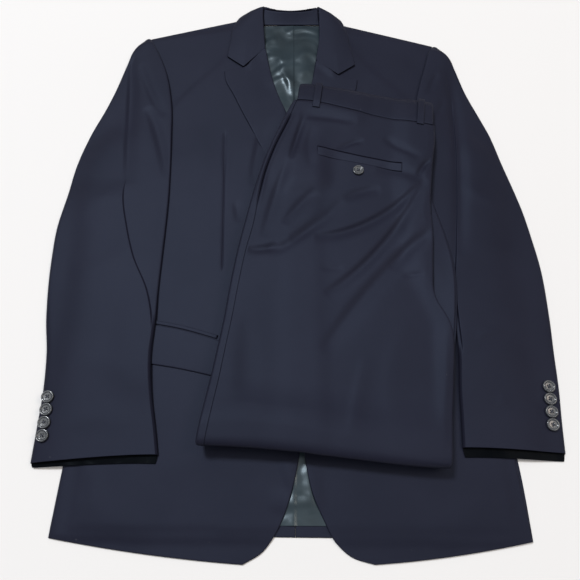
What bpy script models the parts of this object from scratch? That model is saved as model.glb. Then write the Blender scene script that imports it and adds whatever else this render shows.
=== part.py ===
"""Two-piece suit laid on a flat surface: the jacket face up, the trousers folded and laid on it.

The plan is a cutter's: millimetres, x from the middle of the back neck towards the wearer's left, y up
from the back hem towards the collar, z up from the surface. Sides are the wearer's. Each sheet of cloth
is a closed wall over a grid of sections, and each is laid on the sheets that were built before it.
"""

import math
from collections import namedtuple

import bpy
import numpy as np
from mathutils import Vector
from mathutils.bvhtree import BVHTree

MM = 0.001
PLAN_CENTRE = (6.9, 383.2)  # plan point that becomes the model's origin

CLEARANCE = 0.35  # between a sheet and what it lies on
CLOTH = 1.5  # worsted with its lining
CANVASSED = 2.2  # front: worsted, canvas and facing
TURNED = 2.0  # lapel, collar and flap: two layers pressed together
LINING = 1.0
HIGH = 500.0  # above every sheet: where a plumb line starts

BUTTON_DIAMETER = 15.0
BUTTON_THICKNESS = 3.0

NAVY = (0.028, 0.032, 0.052, 1.0)
TEAL = (0.030, 0.055, 0.068, 1.0)
HORN = (0.045, 0.050, 0.058, 1.0)

for old in list(bpy.data.objects):
    bpy.data.objects.remove(old, do_unlink=True)


def finish(name, colour, roughness):
    """A plain Principled material."""
    material = bpy.data.materials.new(name)
    material.use_nodes = True
    shader = material.node_tree.nodes["Principled BSDF"]
    shader.inputs["Base Color"].default_value = colour
    shader.inputs["Roughness"].default_value = roughness
    shader.inputs["Metallic"].default_value = 0.0
    return material


SUITING = finish("suiting", NAVY, 0.85)
SATIN = finish("lining", TEAL, 0.35)
RESIN = finish("button", HORN, 0.30)


# ---------------------------------------------------------------- sections and grids

Grid = namedtuple("Grid", "along across rim", defaults=(0.0,))  # rows, points in a row, rim in mm

def smooth_curve(rows, count):
    """Hermite curve through table rows, any columns, at points even along the rows' path."""
    rows = np.array(rows, dtype=float)
    steps = np.linalg.norm(np.diff(rows.reshape(len(rows), -1), axis=0), axis=1)
    path = np.concatenate([[0.0], np.cumsum(steps)])
    slopes = np.gradient(rows, path, axis=0)
    at = np.linspace(0.0, path[-1], count)
    return hermite(rows, slopes, path, at)


def hermite(rows, slopes, path, at):
    """Cubic pieces with the given slopes, read at the path lengths in at."""
    piece = np.clip(np.searchsorted(path, at, side="right") - 1, 0, len(path) - 2)
    length = path[piece + 1] - path[piece]
    t = (at - path[piece]) / length
    extra = (1,) * (rows.ndim - 1)
    t = t.reshape((-1,) + extra)
    length = length.reshape((-1,) + extra)
    return (
        (2 * t**3 - 3 * t**2 + 1) * rows[piece]
        + (t**3 - 2 * t**2 + t) * length * slopes[piece]
        + (3 * t**2 - 2 * t**3) * rows[piece + 1]
        + (t**3 - t**2) * length * slopes[piece + 1]
    )


def plan_grid(table, along, across, rim=0.0):
    """Grid of plan points: sections of the table, each row's points joined across.

    rim sets the first and last column that far from the edges, so that a sheet can turn down there.
    """
    rows = np.array([tuple(row) for row in table], dtype=float)
    rows = rows.reshape(len(rows), -1, 2)
    stations = smooth_curve(rows, along)
    grid = np.empty((along, across, 2))
    for index, section in enumerate(stations):
        width = np.linalg.norm(section[-1] - section[0])
        inset = min(rim, 0.2 * width) / width
        if rim:
            inner = np.linspace(inset, 1.0 - inset, across - 2)
            fractions = np.concatenate([[0.0], inner, [1.0]])
        else:
            fractions = np.linspace(0.0, 1.0, across)
        steps = np.linalg.norm(np.diff(section, axis=0), axis=1)
        path = np.concatenate([[0.0], np.cumsum(steps)])
        at = fractions * path[-1]
        if len(section) > 2:
            slopes = np.gradient(section, path, axis=0)
            grid[index] = hermite(section, slopes, path, at)
        else:
            grid[index] = section[0] + fractions[:, None] * (section[1] - section[0])
    return grid


def with_height(plan, height):
    """Plan grid with a height for each point."""
    return np.concatenate([plan, np.asarray(height, dtype=float)[..., None]], axis=2)


def normals(grid):
    """Unit normals of a grid of points, on its upper side."""
    along = np.gradient(grid, axis=0)
    across = np.gradient(grid, axis=1)
    cross = np.cross(across, along)
    cross /= np.linalg.norm(cross, axis=2, keepdims=True) + 1e-9
    if cross[..., 2].mean() < 0.0:
        cross = -cross
    return cross


def relaxed(height, passes):
    """Heights averaged with their neighbours, never lower than they were."""
    soft = height.copy()
    for _ in range(passes):
        padded = np.pad(soft, 1, mode="edge")
        mean = (padded[:-2, 1:-1] + padded[2:, 1:-1] + padded[1:-1, :-2] + padded[1:-1, 2:]) / 4.0
        soft = np.maximum(mean, height)
    return soft


# ---------------------------------------------------------------- solids

LAYING_PASSES = 120
SHORT_BY = 0.03  # a cell that is still this far short takes its highest corner all over
TOUCHED = 0.01  # a plumb line that ends above this met a solid
built = {}  # name: points and faces of each finished solid, in plan millimetres


def shell_faces(rows, columns, levels):
    """Triangles of a closed solid: an upper grid, a lower grid, and levels of rim rows between them."""
    count = rows * columns
    faces = []
    for i in range(rows - 1):
        for j in range(columns - 1):
            a = i * columns + j
            faces += [(a, a + 1, a + columns + 1), (a, a + columns + 1, a + columns)]
            b = a + count
            faces += [(b, b + columns + 1, b + 1), (b, b + columns, b + columns + 1)]
    edge = [j for j in range(columns)]
    edge += [i * columns + columns - 1 for i in range(1, rows)]
    edge += [(rows - 1) * columns + j for j in range(columns - 2, -1, -1)]
    edge += [i * columns for i in range(rows - 2, 0, -1)]
    rings = [edge]
    for level in range(levels):
        start = 2 * count + level * len(edge)
        rings.append([start + k for k in range(len(edge))])
    rings.append([index + count for index in edge])
    for upper, lower in zip(rings[:-1], rings[1:]):
        for k in range(len(edge)):
            after = (k + 1) % len(edge)
            faces += [(upper[k], lower[k], lower[after]), (upper[k], lower[after], upper[after])]
    return faces, edge


def solid(name, upper, lower, material, rim=()):
    """Closed solid between two grids. rim rows are (share of the way down, distance outwards)."""
    rows, columns = upper.shape[:2]
    faces, edge = shell_faces(rows, columns, len(rim))
    top = upper.reshape(-1, 3)
    bottom = lower.reshape(-1, 3)
    points = [top, bottom]
    high, low = top[edge], bottom[edge]
    run = np.roll(high, -1, axis=0) - np.roll(high, 1, axis=0)
    outward = np.stack([run[:, 1], -run[:, 0], np.zeros(len(run))], axis=1)
    outward /= np.linalg.norm(outward, axis=1, keepdims=True) + 1e-9
    if np.sum(outward * (high - high.mean(axis=0))) < 0.0:
        outward = -outward
    for share, out in rim:
        points.append(high + (low - high) * share + outward * out)
    return add_mesh(name, np.concatenate(points), faces, material)


def add_mesh(name, points, faces, material):
    """Object of a closed mesh, its faces turned outwards, kept for later sheets to lie on."""
    volume = 0.0
    for face in faces:
        first = points[face[0]]
        for k in range(1, len(face) - 1):
            volume += np.dot(first, np.cross(points[face[k]], points[face[k + 1]]))
    if volume < 0.0:
        faces = [tuple(reversed(face)) for face in faces]
    built[name] = (points, faces)
    placed = (points - np.array([PLAN_CENTRE[0], PLAN_CENTRE[1], 0.0])) * MM
    mesh = bpy.data.meshes.new(name)
    mesh.from_pydata(placed.tolist(), [], faces)
    mesh.update()
    mesh.materials.append(material)
    mesh.shade_smooth()
    mesh.set_sharp_from_angle(angle=math.radians(40.0))
    piece = bpy.data.objects.new(name, mesh)
    bpy.context.scene.collection.objects.link(piece)
    return piece


def pile(names):
    """One tree of the named solids together, so that a plumb line meets the highest first."""
    points = []
    faces = []
    for name in names:
        start = len(points)
        piece_points, piece_faces = built[name]
        points += [Vector(p) for p in piece_points]
        faces += [tuple(index + start for index in face) for face in piece_faces]
    return BVHTree.FromPolygons(points, faces)


def plumb(x, y, tree):
    """Height of the pile under a plan point, or 0 on the surface itself."""
    hit = tree.ray_cast(Vector((x, y, HIGH)), Vector((0.0, 0.0, -1.0)))
    return 0.0 if hit[0] is None else hit[0].z


def laid(plan, names, samples=9):
    """Heights for the underside of a sheet that lies on the named solids, clear of them everywhere.

    Each cell's two triangles are tested at a small grid of points, and its corners rise until the
    cell clears them all.
    """
    tree = pile(names)
    share = np.linspace(0.0, 1.0, samples)
    down, right = (a.ravel() for a in np.meshgrid(share, share, indexing="ij"))
    weights = np.stack(
        [
            1.0 - np.maximum(down, right),
            np.clip(right - down, 0.0, None),
            np.clip(down - right, 0.0, None),
            np.minimum(down, right),
        ]
    )
    corners = np.stack([plan[:-1, :-1], plan[:-1, 1:], plan[1:, :-1], plan[1:, 1:]], axis=2)
    tested = np.einsum("ijkc,ks->ijsc", corners, weights)
    high = np.array([plumb(x, y, tree) for x, y in tested.reshape(-1, 2)]).reshape(tested.shape[:3])
    need = np.where(high > TOUCHED, high + CLEARANCE, 0.0)
    height = np.zeros(plan.shape[:2])
    highest = np.zeros(plan.shape[:2])
    views = [(slice(None, -1), slice(None, -1)), (slice(None, -1), slice(1, None))]
    views += [(slice(1, None), slice(None, -1)), (slice(1, None), slice(1, None))]
    for view in views:
        highest[view] = np.maximum(highest[view], need.max(axis=2))
    for _ in range(LAYING_PASSES):
        cells = np.stack([height[view] for view in views], axis=2)
        lack = need - cells @ weights
        worst = lack.argmax(axis=2)
        amount = np.take_along_axis(lack, worst[..., None], axis=2)[..., 0]
        share_of = weights[:, worst]
        rise = share_of * np.clip(amount, 0.0, None) / (share_of**2).sum(axis=0)
        raised = height.copy()
        for corner, view in enumerate(views):
            raised[view] = np.maximum(raised[view], height[view] + rise[corner])
        height = np.minimum(raised, highest)
    cells = np.stack([height[view] for view in views], axis=2)
    short = (need - cells @ weights).max(axis=2) > SHORT_BY
    for view in views:
        height[view] = np.where(short, highest[view], height[view])
    return height


STEEP_BELOW = 0.35  # upward part of the normal where a sheet counts as turned down
LEVEL_OVER = 0.30  # and over how much more of it the sheet becomes level


def wall(name, under, thickness, material):
    """Sheet of cloth: the grid under it, moved out by its thickness.

    Where the sheet is nearly level it is moved straight up, so that its seams keep their places, and
    where it turns down it is moved along its normal.
    """
    normal = normals(under)
    level = np.clip((normal[..., 2:] - STEEP_BELOW) / LEVEL_OVER, 0.0, 1.0)
    way = normal * (1.0 - level) + np.array([0.0, 0.0, 1.0]) * level
    way /= np.linalg.norm(way, axis=2, keepdims=True)
    depth = thickness / np.clip((way * normal).sum(axis=2, keepdims=True), 0.5, 1.0)
    return solid(name, under + way * depth, under, material)


def slab(name, under, thickness, material):
    """Small or flat piece, its upper side straight above its underside."""
    return solid(name, under + np.array([0.0, 0.0, thickness]), under, material)


# ---------------------------------------------------------------- jacket back and its lining

Section = namedtuple("Section", "x_side y_side x_middle y_middle")

BACK_SEAM_X = 6.0
SEAM_GAP = 0.3
BACK_RIGHT = [
    Section(-262, 2, BACK_SEAM_X, -1.5),
    Section(-260, 60, BACK_SEAM_X, 60),
    Section(-250, 180, BACK_SEAM_X, 180),
    Section(-245, 300, BACK_SEAM_X, 300),
    Section(-252, 420, BACK_SEAM_X, 420),
    Section(-254, 490, BACK_SEAM_X, 490),
    Section(-214, 545, BACK_SEAM_X, 560),
    Section(-206, 620, BACK_SEAM_X, 650),
    Section(-214, 700, BACK_SEAM_X, 737),
    Section(-219, 728, BACK_SEAM_X, 770),
]
LEFT_NARROWER = 4.0  # the wearer's left half lies a little narrower
LEFT_DROP = 6.0  # and its side nearer the hem, by this
LEFT_SHORTER = 0.012  # and by this share of its distance from the hem
BACK_GRID = Grid(12, 6)


def other_side(section):
    """The wearer's left section from the right one, turned over the back seam and slipped down."""
    x = 2 * BACK_SEAM_X - section.x_side - LEFT_NARROWER
    y = section.y_side * (1.0 - LEFT_SHORTER) - LEFT_DROP
    return Section(x, y, BACK_SEAM_X, section.y_middle)


def build_backs():
    """Two flat back panels with the centre-back seam between them."""
    for name, table, sign in (
        ("jacket_back_right", BACK_RIGHT, -1.0),
        ("jacket_back_left", [other_side(row) for row in BACK_RIGHT], 1.0),
    ):
        plan = plan_grid(table, *BACK_GRID)
        plan[:, -1, 0] += sign * SEAM_GAP / 2.0
        slab(name, with_height(plan, np.zeros(plan.shape[:2])), CLOTH, SUITING)


BACKS = ["jacket_back_right", "jacket_back_left"]
LiningRow = namedtuple("LiningRow", "x_right y_right x_left y_left")
LINING_ROWS = [
    LiningRow(-240, 12, 246, 9),
    LiningRow(-236, 180, 240, 178),
    LiningRow(-232, 320, 238, 320),
    LiningRow(-238, 480, 242, 478),
    LiningRow(-160, 610, 170, 608),
    LiningRow(-90, 702, 98, 700),
    LiningRow(-66, 763.5, 72, 763.5),
]
LINING_GRID = Grid(12, 7)


def build_lining():
    """Back lining from the neck seam to just above the back hem."""
    plan = plan_grid(LINING_ROWS, *LINING_GRID)
    slab("jacket_lining", with_height(plan, laid(plan, BACKS)), LINING, SATIN)


# ---------------------------------------------------------------- jacket fronts

FRONT_RIGHT = [
    Section(-269, -2, -52, -29),
    Section(-268.5, 10, -31, -17),
    Section(-267.5, 25, -18, -1),
    Section(-266, 50, -7, 20),
    Section(-264, 80, 2, 46),
    Section(-262, 110, 10, 80),
    Section(-256, 180, 14.2, 150),
    Section(-252, 280, 14.2, 260),
    Section(-255, 400, 14.2, 400),
    Section(-262, 470, 14.2, 450),
    Section(-242, 503, 9, 486),
    Section(-202, 520, 2, 520),
    Section(-183, 555, -5, 560),
    Section(-184, 600, -14, 600),
    Section(-194, 647, -28, 647),
    Section(-208, 690, -36, 696),
    Section(-220.5, 719, -52, 741),
    Section(-225, 733.5, -80, 775),
]
FRONT_LEFT = [
    Section(270, -6, 93, -29),
    Section(269.5, 7, 68, -21.5),
    Section(268.5, 22, 50, -6),
    Section(266, 44, 38, 16),
    Section(264, 74, 25, 46),
    Section(262, 106, 18, 80),
    Section(258, 180, 15.6, 150),
    Section(256, 280, 15.6, 260),
    Section(259, 400, 15.6, 400),
    Section(266, 462, 16, 450),
    Section(248, 492, 19, 486),
    Section(210, 512, 22, 520),
    Section(190, 548, 26, 560),
    Section(193, 592, 30, 600),
    Section(203, 634, 34, 640),
    Section(217, 677, 42, 694),
    Section(225.5, 705, 56, 732.5),
    Section(227.5, 718, 82, 765.5),
]
FRONT_GRID = Grid(24, 12, 6.0)
CHEST = 1.6  # how far the chest stands off the lining
CHEST_BROAD = 0.7  # below 1 the chest is broader than a sine
CHEST_ENDS = 0.06  # share of the front's length that stays low at the hem and the shoulder
HEM_SAG = 3.0  # the hem's belly below the straight line between its corners
HEM_SHARE = 0.12  # share of the front's length that the belly fades over


def build_fronts():
    """Fronts from shoulder to hem, with the cutaway corner, turned down along the side and hem."""
    for name, table in (("jacket_front_right", FRONT_RIGHT), ("jacket_front_left", FRONT_LEFT)):
        plan = plan_grid(table, *FRONT_GRID)
        across = np.linspace(0.0, 1.0, plan.shape[1])
        up = np.linspace(0.0, 1.0, plan.shape[0])[:, None]
        belly = 4.0 * across * (1.0 - across) * np.clip(1.0 - up / HEM_SHARE, 0.0, 1.0)
        plan[:, :, 1] -= HEM_SAG * belly
        middle = np.clip(up, CHEST_ENDS, 1.0 - CHEST_ENDS)
        fullness = (np.sin(math.pi * across) * np.sin(math.pi * middle)) ** CHEST_BROAD
        under = relaxed(laid(plan, BACKS + ["jacket_lining"]), 1) + CHEST * fullness
        wall(name, with_height(plan, under), CANVASSED, SUITING)


FRONTS = ["jacket_front_right", "jacket_front_left"]

# ---------------------------------------------------------------- lapels

LapelRow = namedtuple("LapelRow", "x_roll y_roll x_mid y_mid x_edge y_edge")
LAPEL_RIGHT = [
    LapelRow(-39.5, 706, -72, 665.5, -101, 658),
    LapelRow(-35, 682, -67, 651, -98, 643),
    LapelRow(-29, 652, -59, 628, -87, 620),
    LapelRow(-19, 617, -46, 598, -72, 586),
    LapelRow(-6, 582, -32, 566, -56, 552),
    LapelRow(6, 540, -16, 525, -38, 514),
    LapelRow(14, 496, 0, 484, -14, 470),
    LapelRow(18, 462, 13, 457, 6, 450),
]
LAPEL_LEFT = [
    LapelRow(42, 681, 74, 650, 104, 642),
    LapelRow(39, 662, 70, 637, 101, 628),
    LapelRow(34, 638, 62, 617, 91, 606),
    LapelRow(30, 600, 54, 582, 78, 572),
    LapelRow(26, 560, 45, 547, 64, 538),
    LapelRow(24, 515, 36, 505, 48, 498),
    LapelRow(22, 466, 27, 462, 33, 456),
]
LAPEL_GRID = Grid(14, 6)
LAPEL_LIFT = 0.8  # at the roll line, which isn't pressed flat


def build_lapels():
    """Lapels turned back over the fronts from the roll line."""
    for name, table in (("jacket_lapel_right", LAPEL_RIGHT), ("jacket_lapel_left", LAPEL_LEFT)):
        plan = plan_grid(table, *LAPEL_GRID)
        roll = np.linspace(1.0, 0.0, plan.shape[1])
        under = relaxed(laid(plan, FRONTS + BACKS + ["jacket_lining"]), 3) + LAPEL_LIFT * roll
        wall(name, with_height(plan, under), TURNED, SUITING)


LAPELS = ["jacket_lapel_right", "jacket_lapel_left"]

# ---------------------------------------------------------------- collar

CollarRow = namedtuple("CollarRow", "x_roll y_roll z_roll x_mid y_mid z_mid x_edge y_edge z_edge")
COLLAR_FALL = [
    CollarRow(-40, 710, 9.5, -72, 670, 7.4, -97.5, 688, 6.5),
    CollarRow(-42, 733, 10.2, -70, 706.5, 8.8, -97, 708, 6.5),
    CollarRow(-44, 759.8, 10.8, -70, 742.5, 9.8, -94, 731, 6.5),
    CollarRow(-45, 783.5, 11.8, -68, 770, 10.6, -92, 752, 6.4),
    CollarRow(-43, 794, 12.4, -64, 785, 10, -80, 777, 5.6),
    CollarRow(-24, 787, 11.6, -30, 792.5, 6.6, -40, 777, 2.7),
    CollarRow(2, 785, 11.2, 2, 790.5, 6.2, 2, 775, 2.7),
    CollarRow(27, 787.5, 11.6, 33, 792, 6.6, 42, 775.5, 2.7),
    CollarRow(46, 792, 12.4, 66, 780.5, 10, 80, 771, 5.6),
    CollarRow(48, 777.5, 11.8, 70, 762.5, 10.6, 91, 741, 6.4),
    CollarRow(48, 753.5, 10.8, 72, 734.5, 9.8, 94, 718, 6.5),
    CollarRow(47, 723, 10.2, 73, 697.5, 8.8, 99, 694, 6.5),
    CollarRow(41.5, 685, 9.5, 74, 654.5, 7.4, 100.5, 673, 6.5),
]
FALL_STATIONS = 31
FALL_TURNS = 7  # points from the roll line to the fall's edge
STAND_STATIONS = 9
STAND_LEVELS = 4
STAND_CENTRE_X = 1.5
STAND_HALF_WIDTH = 42.5  # at the roll line
STAND_FOOT_SPREAD = 3.0  # how much wider it is at the neck seam
STAND_FOOT_Y, STAND_FOOT_Z = 765.5, 2.1
STAND_TOP_Y, STAND_TOP_Z = 789.0, 8.9
STAND_TOP_DIP = 6.7  # the roll line dips towards the middle of the back neck


def build_collar():
    """Stand inside the back neck, and the fall from the roll line round to both collar points."""
    turn = np.linspace(-1.0, 1.0, STAND_STATIONS)
    across = np.ones(STAND_STATIONS)
    foot_x = STAND_CENTRE_X + turn * (STAND_HALF_WIDTH + STAND_FOOT_SPREAD)
    foot = np.stack([foot_x, STAND_FOOT_Y * across, STAND_FOOT_Z * across], axis=1)
    top_y = STAND_TOP_Y - STAND_TOP_DIP * (1.0 - turn**2)
    top = np.stack([STAND_CENTRE_X + turn * STAND_HALF_WIDTH, top_y, STAND_TOP_Z * across], axis=1)
    shares = np.linspace(0.0, 1.0, STAND_LEVELS)[None, :, None]
    stand = foot[:, None, :] * (1.0 - shares) + top[:, None, :] * shares
    wall("jacket_collar_stand", stand, CLOTH, SUITING)
    rows = np.array(COLLAR_FALL, dtype=float).reshape(len(COLLAR_FALL), 3, 3)
    stations = smooth_curve(rows, FALL_STATIONS)
    halfway = np.array([0.0, 0.5, 1.0])
    turns = np.linspace(0.0, 1.0, FALL_TURNS)
    fall = np.array([smooth_curve(section, FALL_TURNS) for section in stations])
    for axis in (0, 1):
        fall[:, :, axis] = [np.interp(turns, halfway, section[:, axis]) for section in stations]
    solid("jacket_collar_fall", fall + normals_out(fall) * TURNED, fall, SUITING)


def normals_out(grid):
    """Normals of the fall: up where it lies on the fronts, turning outwards behind the neck."""
    along = np.gradient(grid, axis=0)
    across = np.gradient(grid, axis=1)
    cross = np.cross(along, across)
    cross /= np.linalg.norm(cross, axis=2, keepdims=True) + 1e-9
    if cross[2, 3, 2] < 0.0:
        cross = -cross
    return cross


COLLAR = ["jacket_collar_stand", "jacket_collar_fall"]

# ---------------------------------------------------------------- hip pocket

FlapRow = namedtuple("FlapRow", "x_top y_top x_bottom y_bottom")
LinePoint = namedtuple("LinePoint", "x y")
HIP_POCKET_MOUTH = [LinePoint(-180, 249.5), LinePoint(-139, 241.5), LinePoint(-92, 228)]
HIP_JET_HEIGHT = 5.0
FLAP = [FlapRow(-180, 249, -180, 197), FlapRow(-139, 241, -140, 190.5), FlapRow(-86, 225.5, -86, 178.5)]
WELT_THICKNESS = 1.2
MOUTH_GAP = 0.6
HIP_JET_GRID = Grid(8, 2)
FLAP_GRID = Grid(8, 6)


def strip_beside(line, near, far, grid):
    """Plan grid of a narrow strip beside a line, from near to far on the line's upper side."""
    points = smooth_curve(line, grid.along)
    run = np.gradient(points, axis=0)
    upward = np.stack([-run[:, 1], run[:, 0]], axis=1) / np.linalg.norm(run, axis=1, keepdims=True)
    distances = np.linspace(near, far, grid.across)
    return points[:, None, :] + upward[:, None, :] * distances[None, :, None]


def build_hip_pocket():
    """The jet over the mouth and the flap that falls from under it."""
    plan = strip_beside(HIP_POCKET_MOUTH, MOUTH_GAP, MOUTH_GAP + HIP_JET_HEIGHT, HIP_JET_GRID)
    slab("hip_pocket_jet", with_height(plan, laid(plan, FRONTS)), WELT_THICKNESS, SUITING)
    plan = plan_grid(FLAP, *FLAP_GRID)
    slab("hip_pocket_flap", with_height(plan, laid(plan, FRONTS)), TURNED, SUITING)


POCKET = ["hip_pocket_jet", "hip_pocket_flap"]

# ---------------------------------------------------------------- sleeves

SleeveRow = namedtuple("SleeveRow", "x_elbow y_elbow x_fold y_fold x_front y_front")
SLEEVE_RIGHT = [
    SleeveRow(-302, 78, -158, 87, -153, 87),
    SleeveRow(-301.5, 121, -163, 115, -158, 115),
    SleeveRow(-301.5, 163, -171, 158, -166.5, 158),
    SleeveRow(-305.5, 212, -176, 204, -171.5, 204),
    SleeveRow(-313, 254, -175, 249, -170.5, 249),
    SleeveRow(-318, 300, -185, 292, -171, 292),
    SleeveRow(-320.5, 352, -208, 342, -170, 345),
    SleeveRow(-320, 392, -222, 388, -169, 396),
    SleeveRow(-313, 443, -232, 438, -169, 445),
    SleeveRow(-307.5, 490, -229, 490, -171, 495),
    SleeveRow(-293.5, 548, -232, 546, -174, 548),
    SleeveRow(-279.5, 588, -237, 590, -177, 590),
    SleeveRow(-267, 630, -243, 638, -187, 646),
    SleeveRow(-255.5, 678, -240, 682, -200, 686),
    SleeveRow(-245, 711, -233, 715, -215, 719),
    SleeveRow(-231, 730, -227.5, 731.5, -223.5, 733),
]
SLEEVE_LEFT = [
    SleeveRow(323, 89, 206, 95, 201, 95),
    SleeveRow(325.5, 125, 208, 126, 203, 126),
    SleeveRow(329, 165, 210, 165, 205, 165),
    SleeveRow(331, 210, 214, 208, 209, 208),
    SleeveRow(333.5, 256, 214, 252, 209, 252),
    SleeveRow(334.5, 316, 215, 298, 197, 293),
    SleeveRow(329, 376, 223, 362, 177, 350),
    SleeveRow(323.5, 415, 229, 406, 173, 396),
    SleeveRow(316.5, 448, 233, 440, 174, 440),
    SleeveRow(305.5, 493, 238, 490, 178, 490),
    SleeveRow(295, 543, 242, 540, 182, 545),
    SleeveRow(284.5, 575, 245, 582, 186, 584),
    SleeveRow(268.5, 623, 246, 626, 196, 629),
    SleeveRow(257.5, 667, 242, 669, 209, 672),
    SleeveRow(248.5, 695, 236, 699, 219, 704),
    SleeveRow(234, 714, 230.5, 715, 226.5, 716),
]
UNDER_SLEEVE_GRID = Grid(20, 8)
TOP_SLEEVE_GRID = Grid(26, 13, 6.5)
SLEEVE_FULLNESS = 2.4  # between the two pressed layers
PRESSED_SHARE = 0.55  # of that fullness at the cuff and the head
SLEEVE_ARCH = 0.6  # below 1 the fullness is broader than a sine
SLEEVE_INSET = 4.6  # the under sleeve's edge inside the top sleeve's fold
CuffShows = namedtuple("CuffShows", "elbow front")
UNDER_CUFFS = {  # how far the under sleeve shows past the top sleeve's cuff
    "right": CuffShows(5.0, 10.0),
    "left": CuffShows(9.0, 11.0),
}
TOP_CUFF = CuffShows(0.0, 0.0)
FOLD_STEP = 2.0  # the elbow side lies over the front side along the inner fold
FOLD_SOFTNESS = 0.10  # share of the sleeve's width that the step takes
FOLD_NEEDS = 0.30  # the step is whole where this share of the width lies past the fold
NARROWEST = 0.3  # an edge is drawn in by no more than this share of the row


def inset_rows(table, distance, shows):
    """Sleeve sections drawn in from both edges, and the cuff let down."""
    rows = []
    for index, row in enumerate(table):
        edge = np.array([row.x_elbow, row.y_elbow])
        front = np.array([row.x_front, row.y_front])
        across = (front - edge) / np.linalg.norm(front - edge)
        amount = min(distance, NARROWEST * np.linalg.norm(front - edge))
        start = edge + across * amount
        end = front - across * amount
        fold = np.array([row.x_fold, row.y_fold])
        if index == 0:
            start[1] -= shows.elbow
            fold[1] -= shows.front
            end[1] -= shows.front
        rows.append(SleeveRow(*start, *fold, *end))
    return rows


def sleeve_fullness(plan, rows):
    """Air in the pressed sleeve, and the step down from its elbow side at the inner fold."""
    steps = np.linalg.norm(np.diff(plan, axis=1), axis=2)
    across = np.concatenate([np.zeros((len(plan), 1)), np.cumsum(steps, axis=1)], axis=1)
    across /= across[:, -1:]
    stations = smooth_curve(np.array([tuple(row) for row in rows]).reshape(-1, 3, 2), len(plan))
    to_fold = np.linalg.norm(stations[:, 1] - stations[:, 0], axis=1)
    past_fold = np.linalg.norm(stations[:, 2] - stations[:, 1], axis=1)
    fold = (to_fold / (to_fold + past_fold))[:, None]
    arch = np.clip(np.sin(math.pi * across), 0.0, 1.0) ** SLEEVE_ARCH
    up = np.linspace(0.0, 1.0, len(plan))[:, None]
    air = SLEEVE_FULLNESS * arch * (PRESSED_SHARE + (1.0 - PRESSED_SHARE) * np.sin(math.pi * up))
    past = np.clip((across - fold) / FOLD_SOFTNESS + 0.5, 0.0, 1.0)
    step = FOLD_STEP * (1.0 - past * past * (3.0 - 2.0 * past))
    off_the_edges = np.clip(8.0 * arch - 1.0, 0.0, 1.0)
    return air + step * np.clip((1.0 - fold) / FOLD_NEEDS, 0.0, 1.0) * off_the_edges


def build_sleeves():
    """Each sleeve pressed flat: the under sleeve on body and surface, the top sleeve folded over it."""
    for side, table in (("right", SLEEVE_RIGHT), ("left", SLEEVE_LEFT)):
        under_name = f"sleeve_{side}_under"
        under_rows = inset_rows(table, SLEEVE_INSET, UNDER_CUFFS[side])
        outline = [(row.x_elbow, row.y_elbow, row.x_front, row.y_front) for row in under_rows]
        plan = plan_grid(outline, *UNDER_SLEEVE_GRID)
        body = BACKS + FRONTS + POCKET + ["jacket_lining"]
        slab(under_name, with_height(plan, relaxed(laid(plan, body), 1)), CLOTH, SUITING)
        top_rows = inset_rows(table, 0.0, TOP_CUFF)
        plan = plan_grid(top_rows, *TOP_SLEEVE_GRID)
        height = laid(plan, body + [under_name]) + sleeve_fullness(plan, top_rows)
        wall(f"sleeve_{side}_top", with_height(plan, height), CLOTH, SUITING)


SLEEVES = [f"sleeve_{side}_{part}" for side in ("right", "left") for part in ("under", "top")]

# ---------------------------------------------------------------- trousers

TrouserRow = namedtuple("TrouserRow", "x_left y_left x_right y_right")
LOWER_LEGS = [
    TrouserRow(-101, 121, 176, 83),
    TrouserRow(-92.5, 150, 185.5, 120),
    TrouserRow(-82, 205, 197, 175),
    TrouserRow(-72.5, 270, 206, 252),
    TrouserRow(-65, 320, 211, 312),
    TrouserRow(-55, 375, 204, 362),
    TrouserRow(-41.5, 440, 188, 425),
    TrouserRow(-24, 500, 190, 478),
    TrouserRow(-2, 556, 198, 522),
    TrouserRow(19, 611, 202, 573),
]
LAYER_HEIGHT = 9.0
RIB = 1.6  # how far each folded layer's edge stands out of the groove beside it
RimRow = namedtuple("RimRow", "share_down out")
RIM_OF_LAYERS = [RimRow(0.30, 1.6 * RIB), RimRow(0.48, 0.0), RimRow(0.56, 0.0), RimRow(0.75, 1.6 * RIB)]
LOWER_LAYERS_GRID = Grid(14, 9)
UPPER_LAYERS_GRID = Grid(26, 9)
LOWER_PASSES = 10  # the lower layers bridge the fronts' edges and the lapels
UPPER_PASSES = 4

LegRow = namedtuple("LegRow", "x_edge y_edge x_seam y_seam x_inner y_inner")
LEG = [
    LegRow(-108.5, 115, -98, 116, 181.5, 76),
    LegRow(-97, 156, -87, 155.5, 187.5, 120),
    LegRow(-89, 203, -79.5, 203, 194.5, 172),
    LegRow(-81.5, 250, -72, 250, 198.5, 238),
    LegRow(-77, 286, -67, 286, 183.5, 276),
    LegRow(-68.5, 342, -58, 342, 183.5, 318),
    LegRow(-60.5, 383, -49, 382, 188, 365),
    LegRow(-49.5, 434, -41.5, 431, 189.5, 415),
    LegRow(-40.5, 470, -34.5, 466, 193.5, 445),
    LegRow(-26.5, 512, -20.5, 510, 198.5, 478),
    LegRow(-10.5, 552, -4, 550, 205, 513),
    LegRow(6, 587, 10.5, 589, 207, 541.5),
]
WAISTBAND = [
    TrouserRow(10, 590.5, 15, 630),
    TrouserRow(32, 588.5, 45, 626),
    TrouserRow(80, 575, 90, 617.5),
    TrouserRow(116, 564.5, 132, 609.5),
    TrouserRow(160, 552.5, 172, 600.5),
    TrouserRow(206, 541.5, 211, 591),
]
OUTER_INSET = 8.0  # the hidden layers' outer edge inside the leg that shows
INNER_INSET = 11.0  # and their inner edge, where the leg turns down
UPPER_LAYERS = [TrouserRow(-101, 120, 171, 81)]  # they end inside the knee fold
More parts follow.
